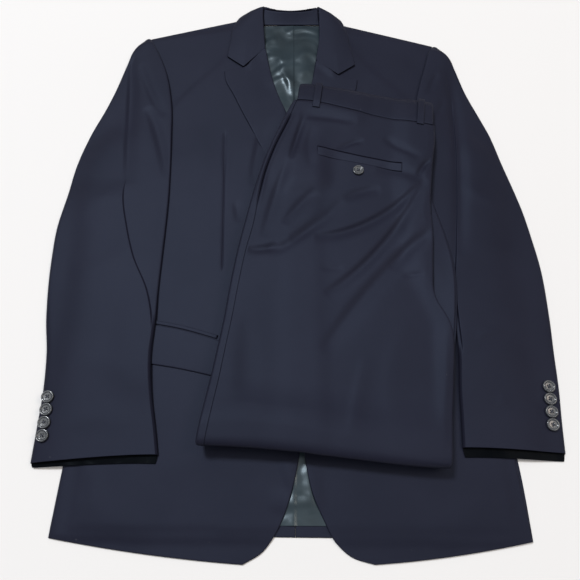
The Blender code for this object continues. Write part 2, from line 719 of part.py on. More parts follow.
UPPER_LAYERS += [
    TrouserRow(r.x_edge + OUTER_INSET, r.y_edge, r.x_inner - INNER_INSET, r.y_inner) for r in LEG[1:]
]
UPPER_LAYERS += [TrouserRow(18, 622, 203, 583)]
LEG_BACK_GRID = Grid(26, 18, 7.0)
LEG_FRONT_GRID = Grid(26, 5, 4.0)
WAISTBAND_GRID = Grid(12, 4)
EDGE_DROP = 5.0  # how far the leg that shows turns down over the layers' edges
EDGE_SLOPE = 1.8  # and no steeper than this, where its last strip is narrow
WAIST_ROWS = 4  # rows of the leg that bend to meet the waist seam
FOLD_ROWS = 7
KNEE_TURN = math.radians(150.0)  # how far round the fold the back panel is followed

Crease = namedtuple("Crease", "x_from y_from x_to y_to height width")
CREASES = [
    Crease(178, 450, 60, 372, 3.2, 13),
    Crease(170, 432, 52, 300, 3.0, 15),
    Crease(186, 372, 52, 212, 3.6, 20),
    Crease(26, 562, -8, 410, 3.0, 12),
    Crease(178, 508, 100, 512, 2.4, 12),
    Crease(-2, 400, 40, 448, 2.6, 14),
    Crease(-40, 338, 40, 360, 2.4, 12),
    Crease(20, 562, 86, 556, 2.0, 10),
]

CREASE_ENDS = 0.08  # share of a crease's length that is as low as its end


def creased(plan):
    """Height of the soft folds over a plan grid: a rounded ridge along each crease."""
    height = np.zeros(plan.shape[:2])
    for crease in CREASES:
        start = np.array([crease.x_from, crease.y_from], dtype=float)
        run = np.array([crease.x_to, crease.y_to], dtype=float) - start
        length = np.linalg.norm(run)
        share = np.clip(((plan - start) @ run) / length**2, 0.0, 1.0)
        nearest = start + share[..., None] * run
        away = np.linalg.norm(plan - nearest, axis=2)
        taper = np.sqrt(np.sin(math.pi * np.clip(share, CREASE_ENDS, 1.0 - CREASE_ENDS)))
        height += crease.height * taper * np.exp(-((away / crease.width) ** 2))
    return height


JACKET = BACKS + ["jacket_lining"] + FRONTS + LAPELS + COLLAR + POCKET + SLEEVES


def build_folded_layers():
    """The legs' hidden layers: lower legs turned under at the knee, then the layers above them."""
    below_names = list(JACKET)
    for name, table, grid, passes in (
        ("trousers_lower_legs", LOWER_LEGS, LOWER_LAYERS_GRID, LOWER_PASSES),
        ("trousers_upper_layers", UPPER_LAYERS, UPPER_LAYERS_GRID, UPPER_PASSES),
    ):
        plan = plan_grid(table, *grid)
        lower = relaxed(laid(plan, below_names), passes)
        upper = lower + LAYER_HEIGHT
        solid(name, with_height(plan, upper), with_height(plan, lower), SUITING, RIM_OF_LAYERS)
        below_names.append(name)
    return below_names


KNEE_REACH = 13.0  # how far the knee fold stands out past the leg's first row
KNEE_DEPTH = 20.0  # width of the jacket that the knee fold rests on


def turned_under(grid, reach, drop):
    """Rows added past the grid's first row, round half a circle of the given depth."""
    first = grid[0]
    outward = first - grid[1]
    outward[:, 2] = 0.0
    outward /= np.linalg.norm(outward, axis=1, keepdims=True)
    rows = []
    for step in range(FOLD_ROWS, 0, -1):
        angle = KNEE_TURN * step / FOLD_ROWS
        row = first + outward * reach * math.sin(angle)
        row[:, 2] = first[:, 2] - drop * (1.0 - math.cos(angle)) / 2.0
        rows.append(row)
    return np.concatenate([np.array(rows), grid])


def leg_panel(name, under, knee_bottom):
    """Panel of the leg that shows: level over the layers, then round the knee fold."""
    drop = under[0, :, 2] - knee_bottom - CLOTH
    upper = under + np.array([0.0, 0.0, CLOTH])
    inner = turned_under(under, KNEE_REACH - CLOTH, drop)
    solid(name, turned_under(upper, KNEE_REACH, drop + 2.0 * CLOTH), inner, SUITING)


def build_trouser_legs():
    """The leg that shows: back panel, front panel strip past the side seam, and the waistband."""
    core = build_folded_layers()
    back = plan_grid([row[2:] for row in LEG], *LEG_BACK_GRID)
    seam = smooth_curve([(row.x_left, row.y_left) for row in WAISTBAND], LEG_BACK_GRID.across)
    missed = seam - np.array([0.0, 2.0 * SEAM_GAP]) - back[-1]
    for step in range(WAIST_ROWS):
        back[-1 - step] += missed * (1.0 - step / WAIST_ROWS)
    front = plan_grid([row[:4] for row in LEG], *LEG_FRONT_GRID)
    to_seam = back[:, 0] - np.array([SEAM_GAP, 0.0]) - front[:, -1]
    front += to_seam[:, None, :] * np.linspace(0.0, 1.0, front.shape[1])[None, :, None]
    knee = np.stack([back[0] - np.array([0.0, KNEE_DEPTH]), back[0]])
    knee_bottom = laid(knee, JACKET).max()
    back_floor = laid(back, core)
    front_floor = laid(front, core)
    back_height = relaxed(back_floor, 3) + creased(back)
    front_height = relaxed(front_floor, 2)
    side_seam = np.maximum(back_height[:, 0], front_height[:, -1])
    back_height[:, 0] = side_seam
    front_height[:, -1] = side_seam
    for plan, height, floor, edge, inside in (
        (back, back_height, back_floor, -1, -2),
        (front, front_height, front_floor, 0, 1),
    ):
        strip = np.linalg.norm(plan[:, edge] - plan[:, inside], axis=1)
        turned_down = height[:, inside] - np.minimum(EDGE_DROP, EDGE_SLOPE * strip)
        height[:, edge] = np.maximum(floor[:, edge], turned_down)
    leg_panel("trousers_back_leg", with_height(back, back_height), knee_bottom)
    leg_panel("trousers_front_leg", with_height(front, front_height), knee_bottom)
    plan = plan_grid(WAISTBAND, *WAISTBAND_GRID)
    wall("trousers_waistband", with_height(plan, relaxed(laid(plan, core), 3)), TURNED, SUITING)


TROUSER_CLOTH = ["trousers_back_leg", "trousers_front_leg", "trousers_waistband"]

LoopRow = namedtuple("LoopRow", "x_left y_left x_right y_right")
BELT_LOOPS = {
    "belt_loop_side": [LoopRow(32.3, 576, 43, 574), LoopRow(35.6, 600, 46.2, 598.5), LoopRow(38.8, 625, 49.2, 624)],
    "belt_loop_back": [LoopRow(181, 543, 190.8, 540.5), LoopRow(184.6, 568, 194.5, 566), LoopRow(188.2, 593, 198, 591)],
}
BACK_POCKET_WELT = [
    FlapRow(38, 505.5, 39, 489.5),
    FlapRow(70, 499, 69.7, 484),
    FlapRow(98, 491.5, 97.3, 478),
    FlapRow(125.5, 485, 124.7, 471.5),
    FlapRow(155.6, 477.4, 154.6, 463.4),
]
LOOP_GRID = Grid(7, 3)
WELT_GRID = Grid(14, 4)


def build_trouser_trims():
    """Belt loops over the waistband, and the welt of the back pocket."""
    for name, table in BELT_LOOPS.items():
        plan = plan_grid(table, *LOOP_GRID)
        under = laid(plan, TROUSER_CLOTH + ["trousers_upper_layers"])
        slab(name, with_height(plan, under), CLOTH, SUITING)
    plan = plan_grid(BACK_POCKET_WELT, *WELT_GRID)
    slab("back_pocket_welt", with_height(plan, laid(plan, ["trousers_back_leg"])), WELT_THICKNESS, SUITING)


TRIMS = list(BELT_LOOPS) + ["back_pocket_welt"]

# ---------------------------------------------------------------- buttons

Place = namedtuple("Place", "x y")
CUFF_BUTTONS = {
    "right": [Place(-291.5, 154.5), Place(-290.8, 139.2), Place(-290.6, 123.9), Place(-290.4, 108.6)],
    "left": [Place(314.5, 167.5), Place(313.4, 152.2), Place(312.3, 136.9), Place(311.2, 121.6)],
}
POCKET_BUTTON = Place(94.5, 466)
BUTTON_SIDES = 20
SEAT_TURNS = 24  # plumb lines round the button, at each share of its radius
SEAT_SHARES = (0.4, 0.8, 1.0)
ButtonRing = namedtuple("ButtonRing", "radius height")  # shares of the button's
BUTTON_RINGS = [
    ButtonRing(0.82, 0.0),
    ButtonRing(1.0, 0.35),
    ButtonRing(0.97, 0.80),
    ButtonRing(0.86, 1.0),
    ButtonRing(0.70, 0.92),
    ButtonRing(0.58, 0.62),
]


def build_button(name, place, names):
    """Turned button with a raised rim round a dished middle, seated on the cloth."""
    radius = BUTTON_DIAMETER / 2.0
    tree = pile(names)
    seat = 0.0
    for turn in range(SEAT_TURNS):
        angle = 2.0 * math.pi * turn / SEAT_TURNS
        for share in SEAT_SHARES:
            x = place.x + share * radius * math.cos(angle)
            y = place.y + share * radius * math.sin(angle)
            seat = max(seat, plumb(x, y, tree))
    seat += CLEARANCE
    points = []
    for ring in BUTTON_RINGS:
        for side in range(BUTTON_SIDES):
            angle = 2.0 * math.pi * side / BUTTON_SIDES
            x = place.x + radius * ring.radius * math.cos(angle)
            y = place.y + radius * ring.radius * math.sin(angle)
            points.append((x, y, seat + BUTTON_THICKNESS * ring.height))
    faces = [tuple(range(BUTTON_SIDES))]
    for level in range(len(BUTTON_RINGS) - 1):
        for side in range(BUTTON_SIDES):
            after = (side + 1) % BUTTON_SIDES
            low = level * BUTTON_SIDES
            high = low + BUTTON_SIDES
            faces.append((low + side, high + side, high + after, low + after))
    last = (len(BUTTON_RINGS) - 1) * BUTTON_SIDES
    faces.append(tuple(last + side for side in reversed(range(BUTTON_SIDES))))
    add_mesh(name, np.array(points), faces, RESIN)


def build_buttons():
    """Four kissing buttons on each cuff, and the back pocket's."""
    for side, places in CUFF_BUTTONS.items():
        for number, place in enumerate(places, start=1):
            build_button(f"cuff_button_{side}_{number}", place, SLEEVES)
    build_button("back_pocket_button", POCKET_BUTTON, TROUSER_CLOTH + TRIMS)


build_backs()
build_lining()
build_fronts()
build_lapels()
build_collar()
build_hip_pocket()
build_sleeves()
build_trouser_legs()
build_trouser_trims()
build_buttons()
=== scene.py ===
"""Looks of a two-piece suit laid out: a navy jacket face up, its trousers folded and laid on it.

Plan millimetres: x from near the middle of the back neck towards the wearer's left, y from the back hem
towards the collar, z up from the surface. Sides are the wearer's. The pieces follow in the order in which
they are laid on each other, and each one lies on the pile of those before it.
"""

import math
from collections import namedtuple

import bpy
import numpy as np
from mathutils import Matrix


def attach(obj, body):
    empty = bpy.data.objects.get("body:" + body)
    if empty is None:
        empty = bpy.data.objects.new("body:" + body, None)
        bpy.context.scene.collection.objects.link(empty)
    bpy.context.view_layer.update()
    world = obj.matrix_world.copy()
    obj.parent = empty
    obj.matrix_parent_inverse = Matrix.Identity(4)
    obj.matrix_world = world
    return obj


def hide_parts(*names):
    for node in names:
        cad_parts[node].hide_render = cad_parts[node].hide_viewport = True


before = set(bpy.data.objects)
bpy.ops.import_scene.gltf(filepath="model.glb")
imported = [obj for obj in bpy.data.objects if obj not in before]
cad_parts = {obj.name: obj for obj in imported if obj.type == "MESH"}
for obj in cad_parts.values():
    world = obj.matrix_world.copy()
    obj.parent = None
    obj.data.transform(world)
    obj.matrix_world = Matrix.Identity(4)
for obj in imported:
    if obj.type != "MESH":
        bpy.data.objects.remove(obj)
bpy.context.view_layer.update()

# ---------------------------------------------------------------- camera, light and floor
# A pale matt sheet under the suit, seen from above the hem. A bright panel hangs beyond the collar on the
# wearer's right, and a weak warm lamp on the left, so that soft shadows fall towards the hem.

MM = 0.001
PLAN_CENTRE = np.array([6.9, 383.2, 0.0])  # plan point that is the frame's origin


def placed(points):
    """Frame metres of plan millimetres: the plan less its centre, in thousandths."""
    return (np.asarray(points, dtype=float) - PLAN_CENTRE) * MM


EYE_HEIGHT = 703.0
EYE_TILT = math.radians(23.0)
LENS = 36.0  # on a sensor as wide

lens = bpy.data.cameras.new("eye")
lens.lens = LENS
lens.sensor_width = LENS
camera = bpy.data.objects.new("eye", lens)
camera.location = placed((0.0, 0.0, EYE_HEIGHT))
camera.rotation_euler = (EYE_TILT, 0.0, 0.0)
bpy.context.scene.collection.objects.link(camera)
bpy.context.scene.camera = camera


def add_node(tree, kind, sockets=None, **settings):
    """Shader node of a kind, its settings set and its sockets linked or given a value."""
    made = tree.nodes.new("ShaderNode" + kind)
    for key, value in settings.items():
        setattr(made, key, value)
    for key, value in (sockets or {}).items():
        if isinstance(value, bpy.types.NodeSocket):
            tree.links.new(value, made.inputs[key])
        else:
            made.inputs[key].default_value = value
    return made


def blank(name):
    """New material, its tree, and its Principled shader."""
    material = bpy.data.materials.new(name)
    material.use_nodes = True
    return material, material.node_tree, material.node_tree.nodes["Principled BSDF"]


def fill(shader, values):
    """Give a shader's inputs their values."""
    for key, value in values.items():
        shader.inputs[key].default_value = value


def shades(tree, value, low, high, low_at=0.0, high_at=1.0):
    """Colour between two colours, as a value goes from one level to another."""
    ramp = add_node(tree, "ValToRGB", {"Fac": value})
    ramp.color_ramp.elements[0].position = low_at
    ramp.color_ramp.elements[0].color = (*low, 1.0)
    ramp.color_ramp.elements[1].position = high_at
    ramp.color_ramp.elements[1].color = (*high, 1.0)
    return ramp.outputs["Color"]


FLOOR_SIZE = 6.0
FLOOR_DROP = 0.0004
floor_paper, paper_tree, paper_shader = blank("pale_sheet")
paper_mottle = add_node(paper_tree, "TexNoise", {"Scale": 3.0, "Detail": 3.0})
paper_colour = shades(paper_tree, paper_mottle.outputs["Fac"], (0.83, 0.81, 0.79), (0.88, 0.865, 0.845))
paper_tree.links.new(paper_colour, paper_shader.inputs["Base Color"])
fill(paper_shader, {"Roughness": 0.9, "Specular IOR Level": 0.2})

floor_mesh = bpy.data.meshes.new("floor")
half = FLOOR_SIZE / 2.0
corners = [(-half, -half), (half, -half), (half, half), (-half, half)]
floor_mesh.from_pydata([(x, y, -FLOOR_DROP) for x, y in corners], [], [(0, 1, 2, 3)])
floor_mesh.materials.append(floor_paper)
floor = bpy.data.objects.new("floor", floor_mesh)
bpy.context.scene.collection.objects.link(floor)

Lamp = namedtuple("Lamp", "name x y z size power colour")
LAMPS = [
    Lamp("panel", -1.68, 1.98, 5.4, 1.15, 222.0, (0.91, 0.95, 1.0)),
    Lamp("lamp", 3.0, 0.2, 4.2, 1.6, 38.0, (1.0, 0.84, 0.70)),
]
for lamp in LAMPS:
    light = bpy.data.lights.new(lamp.name, "AREA")
    light.shape = "DISK"
    light.size = lamp.size
    light.energy = lamp.power
    light.color = lamp.colour
    holder = bpy.data.objects.new(lamp.name, light)
    holder.location = (lamp.x, lamp.y, lamp.z)
    away = np.array([lamp.x, lamp.y, lamp.z])
    holder.rotation_euler = (math.acos(lamp.z / np.linalg.norm(away)), 0.0, math.atan2(away[0], -away[1]))
    bpy.context.scene.collection.objects.link(holder)

BRIGHTEST = (0.06, 0.02, 1.0)  # where the white ceiling is lit most
WALLS, CEILING = (0.17, 0.175, 0.19), (0.92, 0.92, 0.92)
CEILING_FROM = 0.52  # cosine of the angle from there at which the grey of the walls is reached
sky = bpy.data.worlds.new("white_room")
sky.use_nodes = True
sky_spot = add_node(sky.node_tree, "TexCoord")
sky_way = {0: sky_spot.outputs["Generated"], 1: BRIGHTEST}
toward = add_node(sky.node_tree, "VectorMath", sky_way, operation="DOT_PRODUCT")
room_light = shades(sky.node_tree, toward.outputs["Value"], WALLS, CEILING, CEILING_FROM, 1.0)
sky.node_tree.links.new(room_light, sky.node_tree.nodes["Background"].inputs["Color"])
sky.node_tree.nodes["Background"].inputs["Strength"].default_value = 1.0
bpy.context.scene.world = sky
bpy.context.scene.view_settings.view_transform = "Standard"

# ---------------------------------------------------------------- jacket back
# Two halves of a fine worsted in dark navy, sewn together down the middle. They lie flat on the surface,
# and all the rest of the jacket lies on them.


def worked(tree, operation, first, second):
    """Output of a sum done on two values."""
    return add_node(tree, "Math", {0: first, 1: second}, operation=operation).outputs[0]


def suiting(name):
    """Worsted: a plain weave in yarns of two navies, cloudy at arm's length, with a few specks of lint."""
    material, tree, shader = blank(name)
    spot = add_node(tree, "TexCoord")
    uv = spot.outputs["UV"]
    waves = {"Vector": uv, "Scale": YARN_WAVES, "Distortion": 0.6}
    warp, weft = (add_node(tree, "TexWave", waves, bands_direction=way) for way in "XY")
    weave = worked(tree, "MULTIPLY", warp.outputs["Fac"], weft.outputs["Fac"])
    yarn = add_node(tree, "TexNoise", {"Vector": uv, "Scale": YARN_NOISE, "Detail": 2.0})
    cloud = add_node(tree, "TexNoise", {"Vector": spot.outputs["Object"], "Scale": CLOUDS, "Detail": 4.0})
    dark = shades(tree, yarn.outputs["Fac"], DARK_YARN, LIGHT_YARN, 0.30, 0.70)
    soft = shades(tree, cloud.outputs["Fac"], CLOUD_DARK, CLOUD_LIGHT, 0.30, 0.70)
    both = {"Factor": 1.0, "A": dark, "B": soft}
    mixed = add_node(tree, "Mix", both, data_type="RGBA", blend_type="MULTIPLY")
    specks = add_node(tree, "TexVoronoi", {"Vector": uv, "Scale": LINT_CELLS})
    near = worked(tree, "LESS_THAN", specks.outputs["Distance"], LINT_SIZE)
    chosen = add_node(tree, "SeparateColor", {"Color": specks.outputs["Color"]})
    few = worked(tree, "GREATER_THAN", chosen.outputs["Red"], 1.0 - LINT_SHARE)
    lint = worked(tree, "MULTIPLY", worked(tree, "MULTIPLY", near, few), LINT_FAINT)
    specked = {"Factor": lint, "A": mixed.outputs["Result"], "B": LINT}
    colour = add_node(tree, "Mix", specked, data_type="RGBA")
    grain = worked(tree, "ADD", weave, yarn.outputs["Fac"])
    bump = add_node(tree, "Bump", {"Height": grain, "Strength": 0.35, "Distance": WEAVE_RELIEF})
    tree.links.new(colour.outputs["Result"], shader.inputs["Base Color"])
    tree.links.new(bump.outputs["Normal"], shader.inputs["Normal"])
    fill(shader, {"Roughness": 0.50, "Specular IOR Level": 0.20, "Specular Tint": (0.55, 0.68, 0.95, 1.0)})
    fill(shader, {"Sheen Weight": 0.02, "Sheen Roughness": 0.45, "Sheen Tint": (0.55, 0.62, 0.85, 1.0)})
    return material


NAVY = (0.0108, 0.0107, 0.0200)
DARK_YARN, LIGHT_YARN = ([c * shade for c in NAVY] for shade in (0.72, 1.30))
CLOUD_DARK, CLOUD_LIGHT = (0.86, 0.86, 0.88), (1.14, 1.14, 1.12)  # times the yarns' colour
YARN_NOISE, CLOUDS, LINT_CELLS = 1400.0, 9.0, 55.0  # each to the metre
WEAVE_RELIEF = 0.00012
LINT = (0.45, 0.45, 0.46, 1.0)
LINT_SIZE, LINT_SHARE, LINT_FAINT = 0.022, 0.10, 0.30  # radius in cells, share of cells, strength
YARN_PITCH = 0.00045
YARN_WAVES = 2.0 * math.pi / (20.0 * YARN_PITCH)  # a wave texture has 20 radians for each unit of scale
WORSTED = suiting("worsted")

CELL = 2.0  # of the height fields
FIELD_X, FIELD_Y = -345.0, -60.0  # their corner
pile = np.zeros((440, 350))  # top of all that is laid so far


def read_field(field, plan):
    """Height of a field at plan points: the mean of the four cells round each, by nearness."""
    across = np.clip((plan[..., 0] - FIELD_X) / CELL, 0.0, field.shape[1] - 1.001)
    along = np.clip((plan[..., 1] - FIELD_Y) / CELL, 0.0, field.shape[0] - 1.001)
    column, row = across.astype(int), along.astype(int)
    u, v = across - column, along - row
    near = field[row, column] * (1.0 - u) + field[row, column + 1] * u
    far = field[row + 1, column] * (1.0 - u) + field[row + 1, column + 1] * u
    return near * (1.0 - v) + far * v


def finer(grid, times):
    """Grid with so many steps for each of its own, straight between its points."""
    for axis in (0, 1):
        count = grid.shape[axis]
        at = np.linspace(0.0, count - 1, (count - 1) * times + 1)
        low = np.minimum(at.astype(int), count - 2)
        share = (at - low).reshape((-1, 1, 1) if axis == 0 else (1, -1, 1))
        grid = np.take(grid, low, axis) * (1.0 - share) + np.take(grid, low + 1, axis) * share
    return grid


def raise_pile(top):
    """Lay a grid of points on the pile: each cell keeps the highest point over it."""
    widest = max(np.linalg.norm(np.diff(top[..., :2], axis=axis), axis=2).max() for axis in (0, 1))
    points = finer(top, int(math.ceil(widest / CELL * 1.3))).reshape(-1, 3)
    column = np.clip(np.rint((points[:, 0] - FIELD_X) / CELL).astype(int), 0, pile.shape[1] - 1)
    row = np.clip(np.rint((points[:, 1] - FIELD_Y) / CELL).astype(int), 0, pile.shape[0] - 1)
    np.maximum.at(pile, (row, column), points[:, 2])


def over_window(field, cells, pick):
    """Field of the picked value, such as the greatest or the mean, over a square window."""
    for axis in (0, 1):
        margin = [(cells, cells) if a == axis else (0, 0) for a in (0, 1)]
        wide = np.pad(field, margin, mode="edge")
        field = pick(np.lib.stride_tricks.sliding_window_view(wide, 2 * cells + 1, axis=axis), axis=-1)
    return field


def bridging(reach):
    """The pile as cloth spans it: its greatest height within reach, then three means of a third of it."""
    field = over_window(pile, max(1, round(reach / CELL)), np.max)
    for _ in range(3):
        field = over_window(field, max(1, round(reach / CELL / 3.0)), np.mean)
    return np.maximum(field, pile)


def cubic(t, length, start, start_slope, end, end_slope):
    """Cubic piece through two points with a slope at each."""
    return (
        (2 * t**3 - 3 * t**2 + 1) * start
        + (t**3 - 2 * t**2 + t) * length * start_slope
        + (3 * t**2 - 2 * t**3) * end
        + (t**3 - t**2) * length * end_slope
    )


def smooth_curve(rows, shares):
    """Cubic pieces through rows, read at shares of the path; each row's slope is its neighbours' mean."""
    rows = np.array([tuple(row) for row in rows], dtype=float)
    path = np.concatenate([[0.0], np.cumsum(np.linalg.norm(np.diff(rows, axis=0), axis=1))])
    slopes = np.gradient(rows, path, axis=0)
    at = np.asarray(shares) * path[-1]
    piece = np.clip(np.searchsorted(path, at, side="right") - 1, 0, len(path) - 2)
    length = (path[piece + 1] - path[piece])[:, None]
    t = (at - path[piece])[:, None] / length
    return cubic(t, length, rows[piece], slopes[piece], rows[piece + 1], slopes[piece + 1])


RIM = np.array([0.0, 0.15, 0.4, 0.7, 1.0])  # where lines of a grid stand close together at an edge
BESIDE = np.array([-1.0, -0.55, -0.25, 0.0, 0.25, 0.55, 1.0])  # and beside a seam or fold


def packed(length, even, rim=3.0, lines=(), beside=1.6):
    """Distances over each length: close at both ends and beside each line, so many even steps between."""
    length = np.atleast_1d(np.asarray(length, dtype=float))[:, None]
    room = 0.4 * length
    for line in lines:
        room = np.minimum(room, 0.5 * np.minimum(line[:, None], length - line[:, None]))
    reach = np.minimum(rim, room)
    knots = [reach * RIM]
    knots += [line[:, None] + np.minimum(beside, 0.8 * room) * BESIDE for line in lines]
    knots.append(length - reach * RIM[::-1])
    parts = [knots[0]]
    for before, after, count in zip(knots[:-1], knots[1:], even):
        share = np.linspace(0.0, 1.0, count + 1)[1:-1]
        parts.append(before[:, -1:] + (after[:, :1] - before[:, -1:]) * share)
        parts.append(after)
    return np.concatenate(parts, axis=1)


def sections(table, shares):
    """A table's sections at shares of its length: station, point of the section, x and y."""
    return smooth_curve(table, shares).reshape(len(shares), -1, 2)


def across(section, distance):
    """Points at distances across sections: straight through two points, a smooth bend through three."""
    steps = np.linalg.norm(np.diff(section, axis=1), axis=2)
    chord = np.diff(section, axis=1) / steps[..., None]
    if section.shape[1] == 2:
        return section[:, :1] + chord * distance[..., None]
    near, far = steps[:, :1], steps[:, 1:]
    middle = (chord[:, 0] * far + chord[:, 1] * near) / (near + far)
    past = distance > near
    length = np.where(past, far, near)[..., None]
    t = (distance[..., None] - np.where(past, near, 0.0)[..., None]) / length
    past = past[..., None]
    start = np.where(past, section[:, 1:2], section[:, :1])
    end = np.where(past, section[:, 2:3], section[:, 1:2])
    start_slope = np.where(past, middle[:, None], chord[:, :1])
    end_slope = np.where(past, chord[:, 1:2], middle[:, None])
    return cubic(t, length, start, start_slope, end, end_slope)


def middle_length(table):
    """Length of the line through the middles of a table's sections."""
    middle = sections(table, np.linspace(0.0, 1.0, 200)).mean(axis=1)
    return np.linalg.norm(np.diff(middle, axis=0), axis=1).sum()


Panel = namedtuple("Panel", "plan from_first from_last from_start from_end")


def panel(table, rows, columns, rim=3.0, line=None):
    """Grid of a table's sections, with each point's distance in from its four edges."""
    length = middle_length(table)
    along = packed(length, rows, rim)[0]
    section = sections(table, along / length)
    width = np.linalg.norm(np.diff(section, axis=1), axis=2).sum(axis=1)
    lines = () if line is None else [line(section)]
    out = packed(width, columns, rim, lines)
    along = np.repeat(along[:, None], out.shape[1], axis=1)
    return Panel(across(section, out), out, width[:, None] - out, along, length - along)


def unit(value):
    """The value, kept between 0 and 1."""
    return np.clip(value, 0.0, 1.0)


def edge_drop(distance, radius):
    """Drop of a pressed edge: a quarter circle of the radius, by the distance in from the edge."""
    inside = unit(distance / radius)
    return radius * (1.0 - np.sqrt(1.0 - (1.0 - inside) ** 2))


def unevenness(plan, height, size):
    """Slow waves of laid cloth: three sines of a height, crossing each other, by the size of a wave."""
    x, y = plan[..., 0] / size, plan[..., 1] / size
    waves = np.sin(x + 0.7 * y) + np.sin(1.3 * y - 0.6 * x + 2.0) + np.sin(1.9 * x + 0.4 * y + 4.0)
    return height * waves / 3.0


def with_height(plan, height):
    """Plan points with a height each."""
    return np.concatenate([plan, np.broadcast_to(height, plan.shape[:-1])[..., None]], axis=-1)


def grid_faces(rows, columns, joined):
    """Four-cornered faces of a grid of points, closed across to a tube where joined."""
    wrap = columns if joined else columns - 1
    row, column = np.meshgrid(np.arange(rows - 1), np.arange(wrap), indexing="ij")
    near, far, after = row * columns, (row + 1) * columns, (column + 1) % columns
    return np.stack([near + column, near + after, far + after, far + column], axis=-1).reshape(-1, 4)


def new_piece(name, points, faces, material):
    """Smooth piece of frame points, in the suit's one body."""
    mesh = bpy.data.meshes.new(name)
    mesh.from_pydata(points.tolist(), [], faces)
    mesh.materials.append(material)
    mesh.shade_smooth()
    piece = bpy.data.objects.new(name, mesh)
    bpy.context.scene.collection.objects.link(piece)
    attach(piece, "root")
    return piece


def cloth(name, outer, thickness, material, joined=False, inside=None):
    """Thin shell inside a grid of outer points; its highest faces look up, and joined closes it to a tube.

    The UV map is in metres along the grid's own lines, so that the weave follows the cloth.
    """
    faces = grid_faces(*outer.shape[:2], joined)
    points = placed(outer.reshape(-1, 3))
    corner = points[faces]
    normal = np.cross(corner[:, 2] - corner[:, 0], corner[:, 3] - corner[:, 1])
    high = corner[..., 2].mean(axis=1)
    upper = high >= np.quantile(high, 0.9)
    if normal[upper, 2].sum() < 0.0:
        faces = faces[:, ::-1]
    piece = new_piece(name, points, faces.tolist(), material)
    step_across = np.linalg.norm(np.diff(outer, axis=1, prepend=outer[:, :1]), axis=2)
    step_along = np.linalg.norm(np.diff(outer, axis=0, prepend=outer[:1]), axis=2)
    run_across = np.cumsum(step_across, axis=1)
    run_along = np.cumsum(step_along, axis=0)
    run_across -= run_across.mean(axis=1, keepdims=True)
    uv = np.stack([run_across, run_along], axis=-1).reshape(-1, 2) * MM
    layer = piece.data.uv_layers.new(name="cloth")
    layer.data.foreach_set("uv", uv[faces.ravel()].ravel())
    shell = piece.modifiers.new("cloth", "SOLIDIFY")
    shell.thickness = thickness * MM
    shell.offset = -1.0
    if inside is not None:
        piece.data.materials.append(inside)
        shell.material_offset = 1
    return piece


def laid(plan, reach, thickness):
    """Height of a sheet's upper side on the pile, which it spans within a reach."""
    return read_field(bridging(reach), plan) + CLEARANCE + thickness


CLEARANCE = 0.3  # between a sheet and what it lies on
SINGLE = 0.9  # one thickness of the cloth with its hem
BACK_TOP = 1.4
BACK_EDGE = 0.6
BACK_SEAM_X = 6.0
SEAM_HALF_GAP = 0.15
Section = namedtuple("Section", "x_side y_side x_middle y_middle")
BACK_RIGHT = [Section(*row) for row in (
    (-262, 2, BACK_SEAM_X, -1.5), (-260, 60, BACK_SEAM_X, 60), (-250, 180, BACK_SEAM_X, 180),
    (-245, 300, BACK_SEAM_X, 300), (-252, 420, BACK_SEAM_X, 420), (-254, 490, BACK_SEAM_X, 490),
    (-214, 545, BACK_SEAM_X, 560), (-206, 620, BACK_SEAM_X, 650), (-214, 700, BACK_SEAM_X, 737),
    (-219, 728, BACK_SEAM_X, 770),
)]
LEFT_NARROWER = 4.0  # the wearer's left half lies a little narrower
LEFT_DROP = 6.0  # and its side nearer the hem, by this
LEFT_SHORTER = 0.012  # and by this share of its distance from the hem


def other_side(section):
    """The wearer's left section from the right one, turned over the back seam and slipped down."""
    x = 2 * BACK_SEAM_X - section.x_side - LEFT_NARROWER
    y = section.y_side * (1.0 - LEFT_SHORTER) - LEFT_DROP
    return Section(x, y, BACK_SEAM_X, section.y_middle)


for back_name, back_table, seam_side in (
    ("back_right", BACK_RIGHT, -1.0),
    ("back_left", [other_side(row) for row in BACK_RIGHT], 1.0),
):
    back = panel(back_table, [60], [36])
    back_top = BACK_TOP - edge_drop(np.minimum(back.from_last, back.from_start), BACK_EDGE)
    back_grid = with_height(back.plan, back_top)
    back_grid[:, -1, 0] += seam_side * SEAM_HALF_GAP
    back_piece = cloth(back_name, back_grid, BACK_TOP - CLEARANCE, WORSTED)
    raise_pile(back_grid)
    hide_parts("jacket_" + back_name)

# ---------------------------------------------------------------- back lining
# A dark teal satin that shows in the neck and between the fronts at the hem. It is sewn to the stand's
# seam and to the turned hem, has a pleat down the middle, and lies loose and wrinkled between them.

Fold = namedtuple("Fold", "x_from y_from x_via y_via x_to y_to height width steep")
FOLD_POINTS = 22


